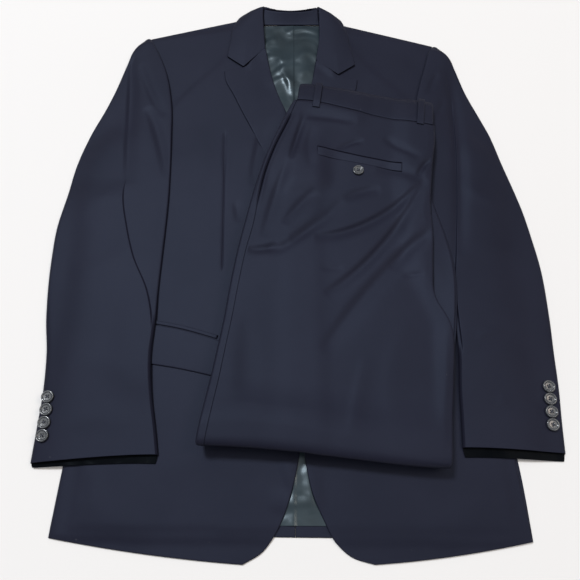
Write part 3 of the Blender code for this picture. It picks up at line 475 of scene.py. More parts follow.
def folded(plan, folds):
    """Ridges, or valleys with a negative height, along bent lines.

    Each line is the parabola through three points, and a plan point reads its nearest stretch of it. Across
    it stands a bell, wide on its left and steep on its right, and towards its ends it fades.
    """
    total = np.zeros(plan.shape[:-1])
    t = np.linspace(0.0, 1.0, FOLD_POINTS)[:, None]
    for fold in folds:
        start, via, end = (np.array(fold[k : k + 2], dtype=float) for k in (0, 2, 4))
        line = start * (1 - t) * (1 - 2 * t) + via * 4 * t * (1 - t) + end * t * (2 * t - 1)
        reach = 3.2 * fold.width
        box = (plan > line.min(axis=0) - reach) & (plan < line.max(axis=0) + reach)
        box = box.all(axis=-1)
        if not box.any():
            continue
        point = plan[box][:, None, :]
        run = np.diff(line, axis=0)
        away = point - line[:-1]
        share = unit((away * run).sum(axis=-1) / (run * run).sum(axis=-1))
        gap = away - run * share[..., None]
        distance = np.linalg.norm(gap, axis=-1)
        nearest = distance.argmin(axis=1)
        pick = (np.arange(len(nearest)), nearest)
        side = run[nearest, 0] * gap[pick][:, 1] - run[nearest, 1] * gap[pick][:, 0]
        spread = np.where(side > 0.0, fold.width, fold.steep)
        along = (nearest + share[pick]) / (FOLD_POINTS - 1)
        fade = np.sin(math.pi * unit(along)) ** 0.6
        total[box] += fold.height * fade * np.exp(-((distance[pick] / spread) ** 2))
    return total


def smoothstep(value):
    """0 below 0, 1 above 1, and a soft S between."""
    value = unit(value)
    return value * value * (3.0 - 2.0 * value)


def satin(name, low, high, shine):
    """Viscose satin: smooth and glossy along the warp, its colour darker and lighter in soft clouds."""
    material, tree, shader = blank(name)
    spot = add_node(tree, "TexCoord")
    cloud = add_node(tree, "TexNoise", {"Vector": spot.outputs["Object"], "Scale": 16.0, "Detail": 4.0})
    colour = shades(tree, cloud.outputs["Fac"], low, high, 0.3, 0.7)
    thread = add_node(tree, "TexWave", {"Vector": spot.outputs["UV"], "Scale": YARN_WAVES * 1.6})
    bump = add_node(tree, "Bump", {"Height": thread.outputs["Fac"], "Strength": 0.15, "Distance": 0.00004})
    tree.links.new(colour, shader.inputs["Base Color"])
    tree.links.new(bump.outputs["Normal"], shader.inputs["Normal"])
    lumps = {"Vector": spot.outputs["Object"], "Scale": 24.0, "Detail": 1.5, "Distortion": 0.7}
    wrinkle = add_node(tree, "TexNoise", lumps)
    creased = add_node(tree, "Bump", {"Height": wrinkle.outputs["Fac"], "Strength": 0.5, "Distance": 0.008})
    tree.links.new(creased.outputs["Normal"], bump.inputs["Normal"])
    fill(shader, {"Roughness": 0.31, "Specular Tint": (0.78, 0.92, 1.0, 1.0)})
    fill(shader, {"Specular IOR Level": shine, "Sheen Weight": 0.2 * shine})
    return material


SATIN = satin("satin", (0.004, 0.010, 0.014), (0.010, 0.022, 0.031), 0.6)
LiningRow = namedtuple("LiningRow", "x_right y_right x_left y_left")
LINING_ROWS = [LiningRow(*row) for row in (
    (-240, 12, 246, 9), (-236, 180, 240, 178), (-232, 320, 238, 320), (-238, 480, 242, 478),
    (-160, 610, 170, 608), (-90, 702, 98, 700), (-66, 763.5, 72, 763.5),
)]
LINING_FOLDS = [Fold(*row) for row in (
    (-8, 745, 20, 755, 48, 744, 1.9, 7, 4), (-40, 706, -36, 727, -20, 735, 1.7, 5, 5),
    (-36, 700, -14, 690, -8, 656, 2.2, 12, 6), (-16, 676, -4, 650, 2, 622, 2.4, 9, 5),
    (12, 686, 28, 704, 43, 690, 1.8, 8, 6), (-26, 642, -9, 652, 4, 637, 1.8, 7, 4),
    (14, 648, 25, 667, 38, 657, 1.4, 8, 6), (-8, 96, 2, 70, 10, 44, 1.6, 9, 5),
    (18, 80, 22, 50, 26, 24, 1.4, 8, 5), (-20, 40, 2, 34, 30, 38, 1.2, 7, 4),
)]
LINING_THICK = 0.6
PLEAT_DEPTH, PLEAT_TURN, PLEAT_WIDTH = 0.9, 0.7, 9.0
SWELL_X, SWELL_Y = 2.0, 690.0  # where the loose lining stands highest between the lapels
SWELL_HEIGHT, SWELL_REACH = 2.6, 36.0
SWELL_LEVEL, SWELL_SIDE = 16.0, 20.0  # half its level width, and the slope beside it

# Rows stand closer at the neck and the hem, and columns down the middle, where the lining shows.
lining_row = np.linspace(-1.0, 1.0, 190)
lining_column = np.linspace(-1.0, 1.0, 100)
lining_along = 0.5 + 0.5 * np.sign(lining_row) * (1.0 - (1.0 - np.abs(lining_row)) ** 1.5)
lining_share = 0.5 + 0.5 * (0.35 * lining_column + 0.65 * lining_column**3)
lining_section = sections(LINING_ROWS, lining_along)
lining_side, lining_width = lining_section[:, :1], np.diff(lining_section, axis=1)
lining_plan = lining_side + lining_width * lining_share[:, None]
lining_top = laid(lining_plan, 4.0, LINING_THICK)
lining_top += np.maximum(folded(lining_plan, LINING_FOLDS), 0.0)
beside_swell = smoothstep((np.abs(lining_plan[..., 0] - SWELL_X) - SWELL_LEVEL) / SWELL_SIDE)
swell = np.exp(-(((lining_plan[..., 1] - SWELL_Y) / SWELL_REACH) ** 2))
lining_top += SWELL_HEIGHT * (1.0 - beside_swell) * swell
off_pleat = lining_plan[..., 0] - BACK_SEAM_X
pleat_edge = 0.5 * (1.0 + np.tanh(-off_pleat / PLEAT_TURN))
lining_top += PLEAT_DEPTH * pleat_edge * np.exp(-((off_pleat / PLEAT_WIDTH) ** 2))
lining_grid = with_height(lining_plan, lining_top)
jacket_lining = cloth("back_lining", lining_grid, LINING_THICK, SATIN)
raise_pile(lining_grid)
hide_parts("jacket_lining")

# ---------------------------------------------------------------- jacket fronts
# Each front is worsted over canvas, with a rounded corner at the hem. A dart runs down from the chest to
# the hip pocket. The fronts are sewn to the back at the side and shoulder and meet over the middle.

FRONT_RIGHT = [Section(*row) for row in (
    (-269, -2, -52, -29), (-268.5, 10, -31, -17), (-267.5, 25, -18, -1), (-266, 50, -7, 20),
    (-264, 80, 2, 46), (-262, 110, 10, 80), (-256, 180, 14.2, 150), (-252, 280, 14.2, 260),
    (-255, 400, 14.2, 400), (-262, 470, 14.2, 450), (-242, 503, 9, 486), (-202, 520, 2, 520),
    (-183, 555, -5, 560), (-184, 600, -14, 600), (-194, 647, -28, 647), (-208, 690, -36, 696),
    (-220.5, 719, -52, 741), (-225, 733.5, -80, 775),
)]
FRONT_LEFT = [Section(*row) for row in (
    (270, -6, 93, -29), (269.5, 7, 68, -21.5), (268.5, 22, 50, -6), (266, 44, 38, 16), (264, 74, 25, 46),
    (262, 106, 18, 80), (258, 180, 15.6, 150), (256, 280, 15.6, 260), (259, 400, 15.6, 400),
    (266, 462, 16, 450), (248, 492, 19, 486), (210, 512, 22, 520), (190, 548, 26, 560),
    (193, 592, 30, 600), (203, 634, 34, 640), (217, 677, 42, 694), (225.5, 705, 56, 732.5),
    (227.5, 718, 82, 765.5),
)]
DART_TOP_X, DART_TOP_Y = -95.8, 551.0
DART_FOOT_X, DART_FOOT_Y = -89.8, 324.0
DART_DEPTH = 1.0
DART_WIDTH = 0.9
DART_FLARE = 1.8  # the dart pulls a softer, wider dent at its upper end
DART_FLARES_FROM, DART_FLARES_OVER = 470.0, 50.0
Fades = namedtuple("Fades", "foot top")  # length over which a line runs out at each end
DART_FADES = Fades(8.0, 14.0)
HEM_SAG = 3.0  # the hem's belly below the straight line between its corners
HEM_SAG_UP = 0.12  # share of the front's length up which the belly runs out
CHEST = 1.9  # how far the chest stands off the lining
CANVASSED = 1.9  # worsted, canvas and facing pressed together
SIDE_TURN = 2.6  # radius of the side, where the front goes round to the back
FREE_TURN = 1.2  # and of the front edge and the hem
FRONT_THICK = SINGLE + 0.3
FRONT_FOLDS_RIGHT = [Fold(*row) for row in (
    (-236, 40, -200, 20, -150, 4, 0.7, 22, 16), (-120, 300, -60, 330, -20, 400, 0.6, 26, 18),
    (-150, 420, -130, 480, -140, 560, 0.7, 24, 18), (-60, 420, -45, 480, -58, 540, 0.6, 16, 12),
    (-150, 60, -100, 90, -40, 70, 0.6, 26, 20), (-240, 80, -225, 50, -232, 10, 0.7, 12, 9),
    (-33, 575, -47, 526, -54, 457, -1.8, 7, 4), (-78, 430, -74, 415, -72, 398, -1.3, 6, 3),
)]
FRONT_FOLDS_LEFT = [Fold(*row) for row in (
    (236, 40, 200, 24, 150, 0, 0.7, 22, 16), (60, 60, 110, 84, 180, 60, 0.6, 26, 20),
    (120, 620, 150, 660, 190, 680, 0.8, 18, 14), (90, 620, 70, 650, 76, 700, 0.5, 14, 12),
)]


def dart_x(y):
    """Where the dart's line lies at a height up the front, a straight line that leans a little."""
    return DART_TOP_X + (y - DART_TOP_Y) * (DART_FOOT_X - DART_TOP_X) / (DART_FOOT_Y - DART_TOP_Y)


def dart_distance(section):
    """Distance across each section to the dart's line."""
    side, middle = section[:, 0], section[:, 1]
    share = (dart_x(0.5 * (side[:, 1] + middle[:, 1])) - side[:, 0]) / (middle[:, 0] - side[:, 0])
    return share * np.linalg.norm(middle - side, axis=1)


for side_name, front_table, steps, line, front_folds in (
    ("right", FRONT_RIGHT, ([230], [48, 34]), dart_distance, FRONT_FOLDS_RIGHT),
    ("left", FRONT_LEFT, ([170], [56]), None, FRONT_FOLDS_LEFT),
):
    front = panel(front_table, *steps, line=line)
    share = front.from_first / (front.from_first + front.from_last)
    up = front.from_start / (front.from_start + front.from_end)
    plan = front.plan.copy()
    plan[..., 1] -= HEM_SAG * 4.0 * share * (1.0 - share) * unit(1.0 - up / HEM_SAG_UP)
    full = np.sin(math.pi * share) ** 0.7 * np.sin(math.pi * np.clip(up, 0.06, 0.94)) ** 0.7
    top = laid(plan, 3.0, CANVASSED) + CHEST * full
    top += unevenness(plan, 0.35 * full, 38.0) + folded(plan, front_folds)
    free_edge = np.minimum(front.from_last, front.from_start)
    top -= edge_drop(front.from_first, SIDE_TURN) + edge_drop(free_edge, FREE_TURN)
    if line is not None:
        flare = DART_FLARE * smoothstep((plan[..., 1] - DART_FLARES_FROM) / DART_FLARES_OVER)
        off = (plan[..., 0] - dart_x(plan[..., 1])) / (DART_WIDTH + flare)
        above_foot = unit((plan[..., 1] - DART_FOOT_Y) / DART_FADES.foot)
        inside = above_foot * unit((DART_TOP_Y - plan[..., 1]) / DART_FADES.top)
        top -= DART_DEPTH * np.sqrt(inside) * np.exp(-(off**2))
    front_grid = with_height(plan, np.maximum(top, FRONT_THICK + CLEARANCE))
    front_piece = cloth(f"front_{side_name}", front_grid, FRONT_THICK, WORSTED)
    raise_pile(front_grid)
    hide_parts(f"jacket_front_{side_name}")

# ---------------------------------------------------------------- hip pocket
# On the right front a flap hangs from under a narrow jet of the same cloth. The jet is sewn over the
# pocket's mouth, and the flap's lower edge is free.

LinePoint = namedtuple("LinePoint", "x y")
HIP_POCKET_MOUTH = [LinePoint(-180, 249.5), LinePoint(-139, 241.5), LinePoint(-92, 228)]
HIP_JET_HEIGHT = 5.0
JET_HIGH, JET_THICK = 1.2, 0.8
MOUTH_GAP = 0.6
FlapRow = namedtuple("FlapRow", "x_top y_top x_bottom y_bottom")
FLAP = [FlapRow(-180, 249, -180, 197), FlapRow(-139, 241, -140, 190.5), FlapRow(-86, 225.5, -86, 178.5)]
FLAP_THICK = 1.5
FLAP_BELLY = 0.5  # how far it stands off along its middle
JET_EDGE, FLAP_FOOT, FLAP_TOP = 1.0, 1.2, 0.8  # radii of the edges


def strip_beside(line, near, far, along, steps):
    """Grid of a strip beside a line, from near to far on its upper side, with distances from its edges."""
    points = smooth_curve(line, np.linspace(0.0, 1.0, along))
    run = np.gradient(points, axis=0)
    size = np.linalg.norm(run, axis=1, keepdims=True)
    upward = np.stack([-run[:, 1], run[:, 0]], axis=1) / size
    out = packed(abs(far - near), [steps], rim=1.2)[0]
    plan = points[:, None, :] + upward[:, None, :] * (near + np.sign(far - near) * out)[None, :, None]
    length = np.cumsum(size[:, 0])
    end = np.minimum(length - length[0], length[-1] - length)
    edge = np.minimum(out, out[-1] - out)
    return plan, edge[None, :] * np.ones((along, 1)), end[:, None] * np.ones(len(out))


jet_plan, jet_edge, jet_end = strip_beside(HIP_POCKET_MOUTH, MOUTH_GAP, MOUTH_GAP + HIP_JET_HEIGHT, 60, 4)
jet_top = laid(jet_plan, 2.0, JET_HIGH) - edge_drop(np.minimum(jet_edge, jet_end), JET_EDGE)
jet_grid = with_height(jet_plan, jet_top)
hip_jet = cloth("hip_jet", jet_grid, JET_THICK, WORSTED)
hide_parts("hip_pocket_jet")

flap = panel(FLAP, [44], [26])
flap_top = laid(flap.plan, 3.0, FLAP_THICK)
flap_top += FLAP_BELLY * np.sin(math.pi * flap.from_first / (flap.from_first + flap.from_last))
flap_top -= edge_drop(flap.from_last, FLAP_FOOT) + edge_drop(flap.from_first, FLAP_TOP)
flap_grid = with_height(flap.plan, flap_top)
hip_flap = cloth("hip_flap", flap_grid, FLAP_THICK - 0.1, WORSTED)
raise_pile(flap_grid)
raise_pile(jet_grid)
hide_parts("hip_pocket_flap")

# ---------------------------------------------------------------- lapels
# The fronts turn back along the roll line, and the facing shows as the lapel. Its upper edge is the lower
# side of the notch. The roll is soft, and the edge lies close on the chest.

LapelRow = namedtuple("LapelRow", "x_roll y_roll x_mid y_mid x_edge y_edge")
LAPEL_RIGHT = [LapelRow(*row) for row in (
    (-39.5, 708.3, -72.5, 672.2, -102, 664), (-35, 682, -67, 652, -99, 645),
    (-29, 652, -59, 628, -87, 620), (-19, 617, -46, 598, -72, 586), (-6, 582, -32, 566, -56, 552),
    (6, 540, -16, 525, -38, 514), (14, 496, 0, 484, -14, 470), (18, 462, 13, 457, 6, 450),
)]
LAPEL_LEFT = [LapelRow(*row) for row in (
    (42, 683.7, 74.5, 656, 104, 646), (39, 662, 70, 637, 101, 628), (34, 638, 62, 617, 91, 606),
    (30, 600, 54, 582, 78, 572), (26, 560, 45, 547, 64, 538), (24, 515, 36, 505, 48, 498),
    (22, 466, 27, 462, 33, 456),
)]
ROLL_RADIUS = 1.5
ROLL_TURN = np.radians(np.linspace(-85.0, 75.0, 7))
TURNED = 1.9  # facing and front pressed together
LAPEL_LIFT = 1.1  # of the roll above the lapel's edge
GORGE_LIFT = 1.5  # of its upper edge where the collar is sewn on
LAPEL_THINS = 2.3  # how much closer the edge lies where the lapel runs out
THINS_WITHIN, THINS_OVER = 100.0, 30.0  # of its lower end
GORGE_FADES, SEWN_WITHIN = 20.0, 14.0  # of the upper edge
SEWN_FROM, SEWN_OVER = 0.42, 0.16  # share of the way to the roll where the collar's seam begins
LAPEL_EDGE, LAPEL_TOP_EDGE, LAPEL_FOOT = 1.5, 0.5, 1.3  # radii of the edges
GORGE_FULL = {"right": 2.6, "left": 1.9}  # added to the upper edge's bend, which makes the seam straight


def one_long(vectors):
    """Vectors, each divided by its own length."""
    return vectors / np.linalg.norm(vectors, axis=-1, keepdims=True)


def round_the_roll(grid, turn, radius):
    """Columns before a grid's first one, round most of a circle from under the roll up to it."""
    first = grid[:, :1]
    outward = one_long(first[..., :2] - grid[:, 1:2, :2])
    rolled = first[..., :2] + outward * (radius * np.cos(turn))[None, :, None]
    height = first[..., 2] - radius + radius * np.sin(turn)[None, :]
    return np.concatenate([with_height(rolled, height), grid], axis=1)


for side_name, lapel_table, lapel_area in (("right", LAPEL_RIGHT, 0.0145), ("left", LAPEL_LEFT, 0.0105)):
    lapel = panel(lapel_table, [76], [26])
    roll_share = lapel.from_last / (lapel.from_first + lapel.from_last)
    outward = one_long(lapel.plan[:1] - lapel.plan[3:4])
    along_gorge = unit(2.0 * (1.0 - roll_share))
    fuller = GORGE_FULL[side_name] * np.sin(math.pi * along_gorge) ** 0.5
    fuller = fuller * unit(1.0 - lapel.from_start / GORGE_FADES)
    lapel_plan = lapel.plan + outward * fuller[..., None]
    lapel_top = laid(lapel_plan, 4.0, TURNED) + LAPEL_LIFT * roll_share**2
    runs_out = 1.0 - smoothstep((lapel.from_end - THINS_WITHIN) / THINS_OVER)
    lapel_top -= LAPEL_THINS * (1.0 - roll_share) * runs_out
    sewn = smoothstep((roll_share - SEWN_FROM) / SEWN_OVER)
    sewn = sewn * (1.0 - smoothstep(lapel.from_start / SEWN_WITHIN))
    lapel_top += GORGE_LIFT * sewn
    lapel_top -= edge_drop(lapel.from_last, LAPEL_EDGE) + edge_drop(lapel.from_start, LAPEL_TOP_EDGE)
    lapel_top -= edge_drop(lapel.from_end, LAPEL_FOOT)
    lapel_grid = round_the_roll(with_height(lapel_plan, lapel_top), ROLL_TURN, ROLL_RADIUS)
    lapel_piece = cloth(f"lapel_{side_name}", lapel_grid, SINGLE, WORSTED)
    raise_pile(lapel_grid)
    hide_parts(f"jacket_lapel_{side_name}")

# ---------------------------------------------------------------- collar
# A stand rises inside the back neck from the neck seam, and a fall turns down over it from the roll line
# to the collar points. Both are two layers of the cloth with a firm felt between.

CollarRow = namedtuple("CollarRow", "x_roll y_roll z_roll x_mid y_mid z_mid x_edge y_edge z_edge")
COLLAR_FALL = [CollarRow(*row) for row in (
    (-40, 709, 7.9, -72.5, 673, 6.6, -98.5, 694, 6.4), (-42, 733, 9.6, -70, 706.5, 8.5, -97, 710, 6.5),
    (-44, 759.8, 10.8, -70, 742.5, 9.8, -94, 731, 6.5), (-45, 783.5, 11.8, -68, 770, 10.6, -92, 752, 6.4),
    (-43, 794, 12.4, -64, 785, 10, -80, 777, 5.6), (-24, 787, 11.6, -30, 792.5, 6.6, -40, 777, 2.7),
    (2, 785, 11.2, 2, 790.5, 6.2, 2, 775, 2.7), (27, 787.5, 11.6, 33, 792, 6.6, 42, 775.5, 2.7),
    (46, 792, 12.4, 66, 780.5, 10, 80, 771, 5.6), (48, 777.5, 11.8, 70, 762.5, 10.6, 91, 741, 6.4),
    (48, 753.5, 10.8, 72, 734.5, 9.8, 94, 718, 6.5), (47, 723, 9.6, 73, 697.5, 8.5, 99, 696, 6.5),
    (41.5, 684.5, 7.9, 74.5, 657, 6.6, 101.5, 677, 6.4),
)]
COLLAR_TURN = np.radians(np.linspace(-110.0, 70.0, 8))
COLLAR_ROLL = 1.7
FALL_THICK = 2.0
FALL_LENGTH = 420.0  # along its roll
FALL_EDGE, FALL_END = 1.4, 0.6  # radii of the edges
STAND_CENTRE_X = 1.5
STAND_HALF_WIDTH = 43.2
STAND_FOOT_SPREAD = 3.0
STAND_FOOT_Y, STAND_FOOT_Z = 765.5, 2.6
STAND_TOP_Y, STAND_TOP_Z = 789.3, 12.6
STAND_TOP_DIP = 6.5
STAND_THICK = 1.0


def surface_normals(grid, upward_at):
    """Unit normals of a grid, turned so that the one at upward_at looks up."""
    cross = np.cross(np.gradient(grid, axis=0), np.gradient(grid, axis=1))
    cross /= np.linalg.norm(cross, axis=2, keepdims=True) + 1e-9
    return cross if cross[upward_at][2] > 0.0 else -cross


fall_along = packed(1.0, [100], rim=0.008)[0]
fall_out = packed(1.0, [22], rim=0.06)[0]
fall_section = smooth_curve(COLLAR_FALL, fall_along).reshape(-1, 3, 1, 3)
fall_share = fall_out[None, :, None]
fall_level = np.where(
    fall_share < 0.5,
    fall_section[:, 0] + (fall_section[:, 1] - fall_section[:, 0]) * 2.0 * fall_share,
    fall_section[:, 1] + (fall_section[:, 2] - fall_section[:, 1]) * (2.0 * fall_share - 1.0),
)
fall_bend = (
    fall_section[:, 0] * (1 - fall_share) * (1 - 2 * fall_share)
    + fall_section[:, 1] * 4 * fall_share * (1 - fall_share)
    + fall_section[:, 2] * fall_share * (2 * fall_share - 1)
)
fall_inner = np.concatenate([fall_level[..., :2], fall_bend[..., 2:]], axis=2)
fall_width = np.linalg.norm(np.diff(fall_inner, axis=1), axis=2).sum(axis=1)[:, None]
fall_end = np.minimum(fall_along, 1.0 - fall_along)[:, None] * FALL_LENGTH
fall_thick = FALL_THICK - edge_drop(fall_width * (1.0 - fall_out), FALL_EDGE)
fall_thick = fall_thick - edge_drop(fall_end, FALL_END)
fall_outer = fall_inner + surface_normals(fall_inner, (10, 8)) * fall_thick[..., None]
fall_grid = round_the_roll(fall_outer, COLLAR_TURN, COLLAR_ROLL)
collar_fall = cloth("collar_fall", fall_grid, FALL_THICK - 0.6, WORSTED)
raise_pile(fall_grid)
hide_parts("jacket_collar_fall")

stand_turn = np.linspace(-1.0, 1.0, 60)[:, None]
stand_up = np.linspace(0.0, 1.0, 14)[None, :]
stand_x = STAND_CENTRE_X + stand_turn * (STAND_HALF_WIDTH + STAND_FOOT_SPREAD * (1.0 - stand_up))
stand_y = STAND_FOOT_Y + (STAND_TOP_Y - STAND_TOP_DIP * (1.0 - stand_turn**2) - STAND_FOOT_Y) * stand_up
stand_z = STAND_FOOT_Z + (STAND_TOP_Z - STAND_FOOT_Z) * stand_up**1.15 + 0.0 * stand_turn
stand_grid = np.stack([stand_x, stand_y, stand_z], axis=-1)
collar_stand = cloth("collar_stand", stand_grid, STAND_THICK, WORSTED)
raise_pile(stand_grid)
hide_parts("jacket_collar_stand")

# ---------------------------------------------------------------- sleeves
# Two-piece sleeves pressed flat, set in at the armhole. From the elbow down the outer half has slipped over
# the front half, which leaves a sharp fold, and the under sleeve shows past each cuff.

SleeveRow = namedtuple("SleeveRow", "x_elbow y_elbow x_fold y_fold x_front y_front")
SLEEVE_RIGHT = [SleeveRow(*row) for row in (
    (-302, 78, -158, 87, -153, 87), (-301.5, 121, -163, 115, -158, 115),
    (-301.5, 163, -171, 158, -166.5, 158), (-305.5, 212, -176, 204, -171.5, 204),
    (-313, 254, -175, 249, -170.5, 249), (-318, 300, -185, 292, -171, 292),
    (-320.5, 352, -208, 342, -170, 345), (-320, 392, -222, 388, -169, 396),
    (-313, 443, -232, 438, -169, 445), (-307.5, 490, -229, 490, -171, 495),
    (-293.5, 548, -232, 546, -174, 548), (-279.5, 588, -237, 590, -177, 590),
    (-267, 630, -243, 638, -187, 646), (-255.5, 678, -240, 682, -200, 686),
    (-245, 711, -233, 715, -215, 719), (-231, 730, -227.5, 731.5, -223.5, 733),
)]
SLEEVE_LEFT = [SleeveRow(*row) for row in (
    (323, 89, 206, 95, 201, 95), (325.5, 125, 208, 126, 203, 126), (329, 165, 210, 165, 205, 165),
    (331, 210, 214, 208, 209, 208), (333.5, 256, 214, 252, 209, 252), (334.5, 316, 215, 298, 197, 293),
    (329, 376, 223, 362, 177, 350), (323.5, 415, 229, 406, 173, 396), (316.5, 448, 233, 440, 174, 440),
    (305.5, 493, 238, 490, 178, 490), (295, 543, 242, 540, 182, 545), (284.5, 575, 245, 582, 186, 584),
    (268.5, 623, 246, 626, 196, 629), (257.5, 667, 242, 669, 209, 672), (248.5, 695, 236, 699, 219, 704),
    (234, 714, 230.5, 715, 226.5, 716),
)]
SLEEVE_EDGE = 1.5  # radius of the pressed edges
SLEEVE_AIR = 2.6  # between the two layers
AIR_AT_ENDS, AIR_BETWEEN = 0.55, 0.45  # shares of it
SLEEVE_SPANS = 30.0  # reach over which a sleeve bridges what it lies on
TIP_THINS = 14.0  # from the shoulder's end
SLEEVE_WAVES = (0.3, 30.0)  # height and size
SLEEVE_CREASES_RISE, STEP_FROM_EDGE = 8.0, 3.0  # in from the edges
FOLD_STEP = 2.3  # of the outer half over the front half
FOLD_STEP_WIDTH = 1.5
StepFades = namedtuple("StepFades", "start end")  # up the sleeve, where the sharp fold grows soft
STEP_FADES = {"right": StepFades(428.0, 468.0), "left": StepFades(545.0, 625.0)}
STEP_STARTS = {"right": 240.0, "left": 205.0}  # below this the outer half covers the front half
STEP_RISES = 24.0
# Inside of the sleeves: a near-black lining with almost no gloss. Where the under sleeve shows past each
# cuff, it gives the dark band there. That darkness is partly the lining's own colour and partly painted
# shade of the open cuff.
SLEEVE_LINING_AND_SHADE = satin("sleeve_lining_and_shade", (0.0015, 0.002, 0.003), (0.003, 0.0035, 0.005), 0.02)
CUFF_LETS_DOWN = 30.0  # how far up the sleeve the under sleeve's slip reaches
CuffShows = namedtuple("CuffShows", "elbow front")
UNDER_CUFFS = {"right": CuffShows(5.0, 10.0), "left": CuffShows(9.0, 11.0)}
SLEEVE_FOLDS_RIGHT = [Fold(*row) for row in (
    (-249, 700, -241, 590, -229, 456, -3.4, 13, 5), (-233, 678, -212, 619, -188, 575, -2.4, 6, 4),
    (-216, 592, -197, 549, -174, 468, -3.0, 9, 5), (-232, 460, -262, 430, -296, 420, 0.4, 14, 9),
    (-214, 360, -246, 330, -290, 320, 0.7, 16, 12), (-200, 180, -236, 200, -280, 190, 0.6, 20, 14),
    (-286, 110, -240, 128, -190, 118, 0.5, 16, 12),
)]
SLEEVE_FOLDS_LEFT = [Fold(*row) for row in (
    (246, 676, 244, 511, 224, 345, -3.6, 10, 8), (228, 658, 218, 640, 209, 619, -1.7, 5, 3),
    (232, 613, 224, 589, 214, 579, -1.7, 5, 3), (234, 228, 250, 236, 267, 239, 0.9, 6, 4),
    (249, 150, 255, 150, 261, 147, 0.8, 4, 3), (288, 141, 295, 139, 301, 136, 0.9, 4, 3),
    (236, 470, 270, 430, 306, 426, 0.9, 14, 9), (222, 330, 262, 352, 312, 342, 0.8, 16, 11),
    (236, 190, 256, 206, 290, 200, 0.7, 12, 8), (240, 110, 270, 122, 304, 112, 0.5, 14, 10),
)]


def round_edge(distance, radius):
    """Half thickness of a pressed tube by the distance in from its edge: a circle, then level."""
    inside = unit(distance / radius)
    return radius * np.sqrt(1.0 - (1.0 - inside) ** 2)


for side_name, sleeve_table, sleeve_folds in (
    ("right", SLEEVE_RIGHT, SLEEVE_FOLDS_RIGHT),
    ("left", SLEEVE_LEFT, SLEEVE_FOLDS_LEFT),
):
    base = bridging(SLEEVE_SPANS)
    middle = sections(sleeve_table, np.linspace(0.0, 1.0, 200))[:, 1]
    length = np.linalg.norm(np.diff(middle, axis=0), axis=1).sum()
    along = packed(length, [190], rim=3.0)[0]
    section = sections(sleeve_table, along / length)
    steps = np.linalg.norm(np.diff(section, axis=1), axis=2)
    width = steps.sum(axis=1)
    out = packed(width, [34, 14], rim=4.0, lines=[steps[:, 0]], beside=1.8)
    back_out = packed(width, [18], rim=4.0)[:, -2:0:-1]
    from_edge = np.minimum(out, width[:, None] - out)
    plan = across(section, out)
    up = (along / length)[:, None]
    tip = np.clip((length - along) / TIP_THINS, 0.05, 1.0)[:, None]
    radius = SLEEVE_EDGE * tip
    arch = unit(np.sin(math.pi * out / width[:, None])) ** 0.6
    air = SLEEVE_AIR * arch * (AIR_AT_ENDS + AIR_BETWEEN * np.sin(math.pi * up))
    past = smoothstep((out - steps[:, :1]) / FOLD_STEP_WIDTH + 0.5)
    fades = STEP_FADES[side_name]
    sharp = 1.0 - smoothstep((plan[..., 1] - fades.start) / (fades.end - fades.start))
    past = past * smoothstep((plan[..., 1] - STEP_STARTS[side_name]) / STEP_RISES)
    lift = FOLD_STEP * (1.0 - past) * sharp * unit(from_edge / STEP_FROM_EDGE)
    top = read_field(base, plan) + CLEARANCE + radius + round_edge(from_edge, radius) + air + lift
    creased = folded(plan, sleeve_folds) + unevenness(plan, *SLEEVE_WAVES)
    top += creased * unit(from_edge / SLEEVE_CREASES_RISE) * tip
    under_plan = across(section, back_out)
    under_edge = np.minimum(back_out, width[:, None] - back_out)
    cuff = UNDER_CUFFS[side_name]
    shows = cuff.elbow + (cuff.front - cuff.elbow) * back_out / width[:, None]
    near_cuff = unit(1.0 - along / CUFF_LETS_DOWN)[:, None]
    let_down = shows * smoothstep(under_edge / 3.0) * near_cuff
    under_plan = under_plan - np.stack([0.0 * let_down, let_down], axis=-1)
    under = read_field(base, under_plan) + CLEARANCE + radius - round_edge(under_edge, radius)
    sleeve_grid = np.concatenate([with_height(plan, top), with_height(under_plan, under)], axis=1)
    sleeve_piece = cloth(
        f"sleeve_{side_name}", sleeve_grid, SINGLE, WORSTED, joined=True, inside=SLEEVE_LINING_AND_SHADE
    )
    raise_pile(with_height(plan, top))
    raise_pile(with_height(under_plan, under + SINGLE))
    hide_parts(f"sleeve_{side_name}_top", f"sleeve_{side_name}_under")

# ---------------------------------------------------------------- trouser legs
# Each leg is a front and a back panel, sewn at the side seam and inseam and pressed flat. Both legs lie on
# each other and turn under at the knee, so that the left leg's outer side is on top and also at the bottom.

LegRow = namedtuple("LegRow", "x_edge y_edge x_seam y_seam x_inner y_inner")
LEG = [LegRow(*row) for row in (
    (-103.5, 115, -93.5, 116, 181.5, 76), (-97, 156, -87, 155.5, 187.5, 120),
    (-89, 203, -79.5, 203, 194.5, 172), (-81.5, 250, -72, 250, 198.5, 238),
    (-77, 286, -67, 286, 183.5, 276), (-68.5, 342, -58, 342, 183.5, 318),
    (-60.5, 383, -49, 382, 188, 365), (-49.5, 434, -41.5, 431, 189.5, 415),
    (-40.5, 470, -34.5, 466, 193.5, 445), (-26.5, 512, -20.5, 510, 198.5, 478),
    (-10.5, 552, -4, 550, 205, 513), (6, 587, 10.5, 589, 207, 541.5),
)]
TrouserRow = namedtuple("TrouserRow", "x_left y_left x_right y_right")
LOWER_LEGS = [TrouserRow(*row) for row in (
    (-101, 121, 176, 83), (-92.5, 150, 185.5, 120), (-82, 205, 197, 175), (-72.5, 270, 210.5, 252),
    (-65, 320, 216, 312), (-55, 375, 211, 362), (-41.5, 440, 197, 425), (-24, 500, 190, 478),
    (-2, 556, 198, 522), (19, 611, 202, 573),
)]
WAISTBAND = [TrouserRow(*row) for row in (
    (10, 590.5, 15, 630), (32, 588.5, 45, 626), (80, 575, 90, 617.5), (116, 564.5, 132, 609.5),
    (160, 552.5, 172, 600.5), (206, 541.5, 211, 591),
)]
STACK = 5.1  # half the height of both legs pressed together
LEG_CENTRE = 2.6  # of each leg from the middle of the stack
LEG_EDGE = 2.25  # radius of a pressed leg's edges
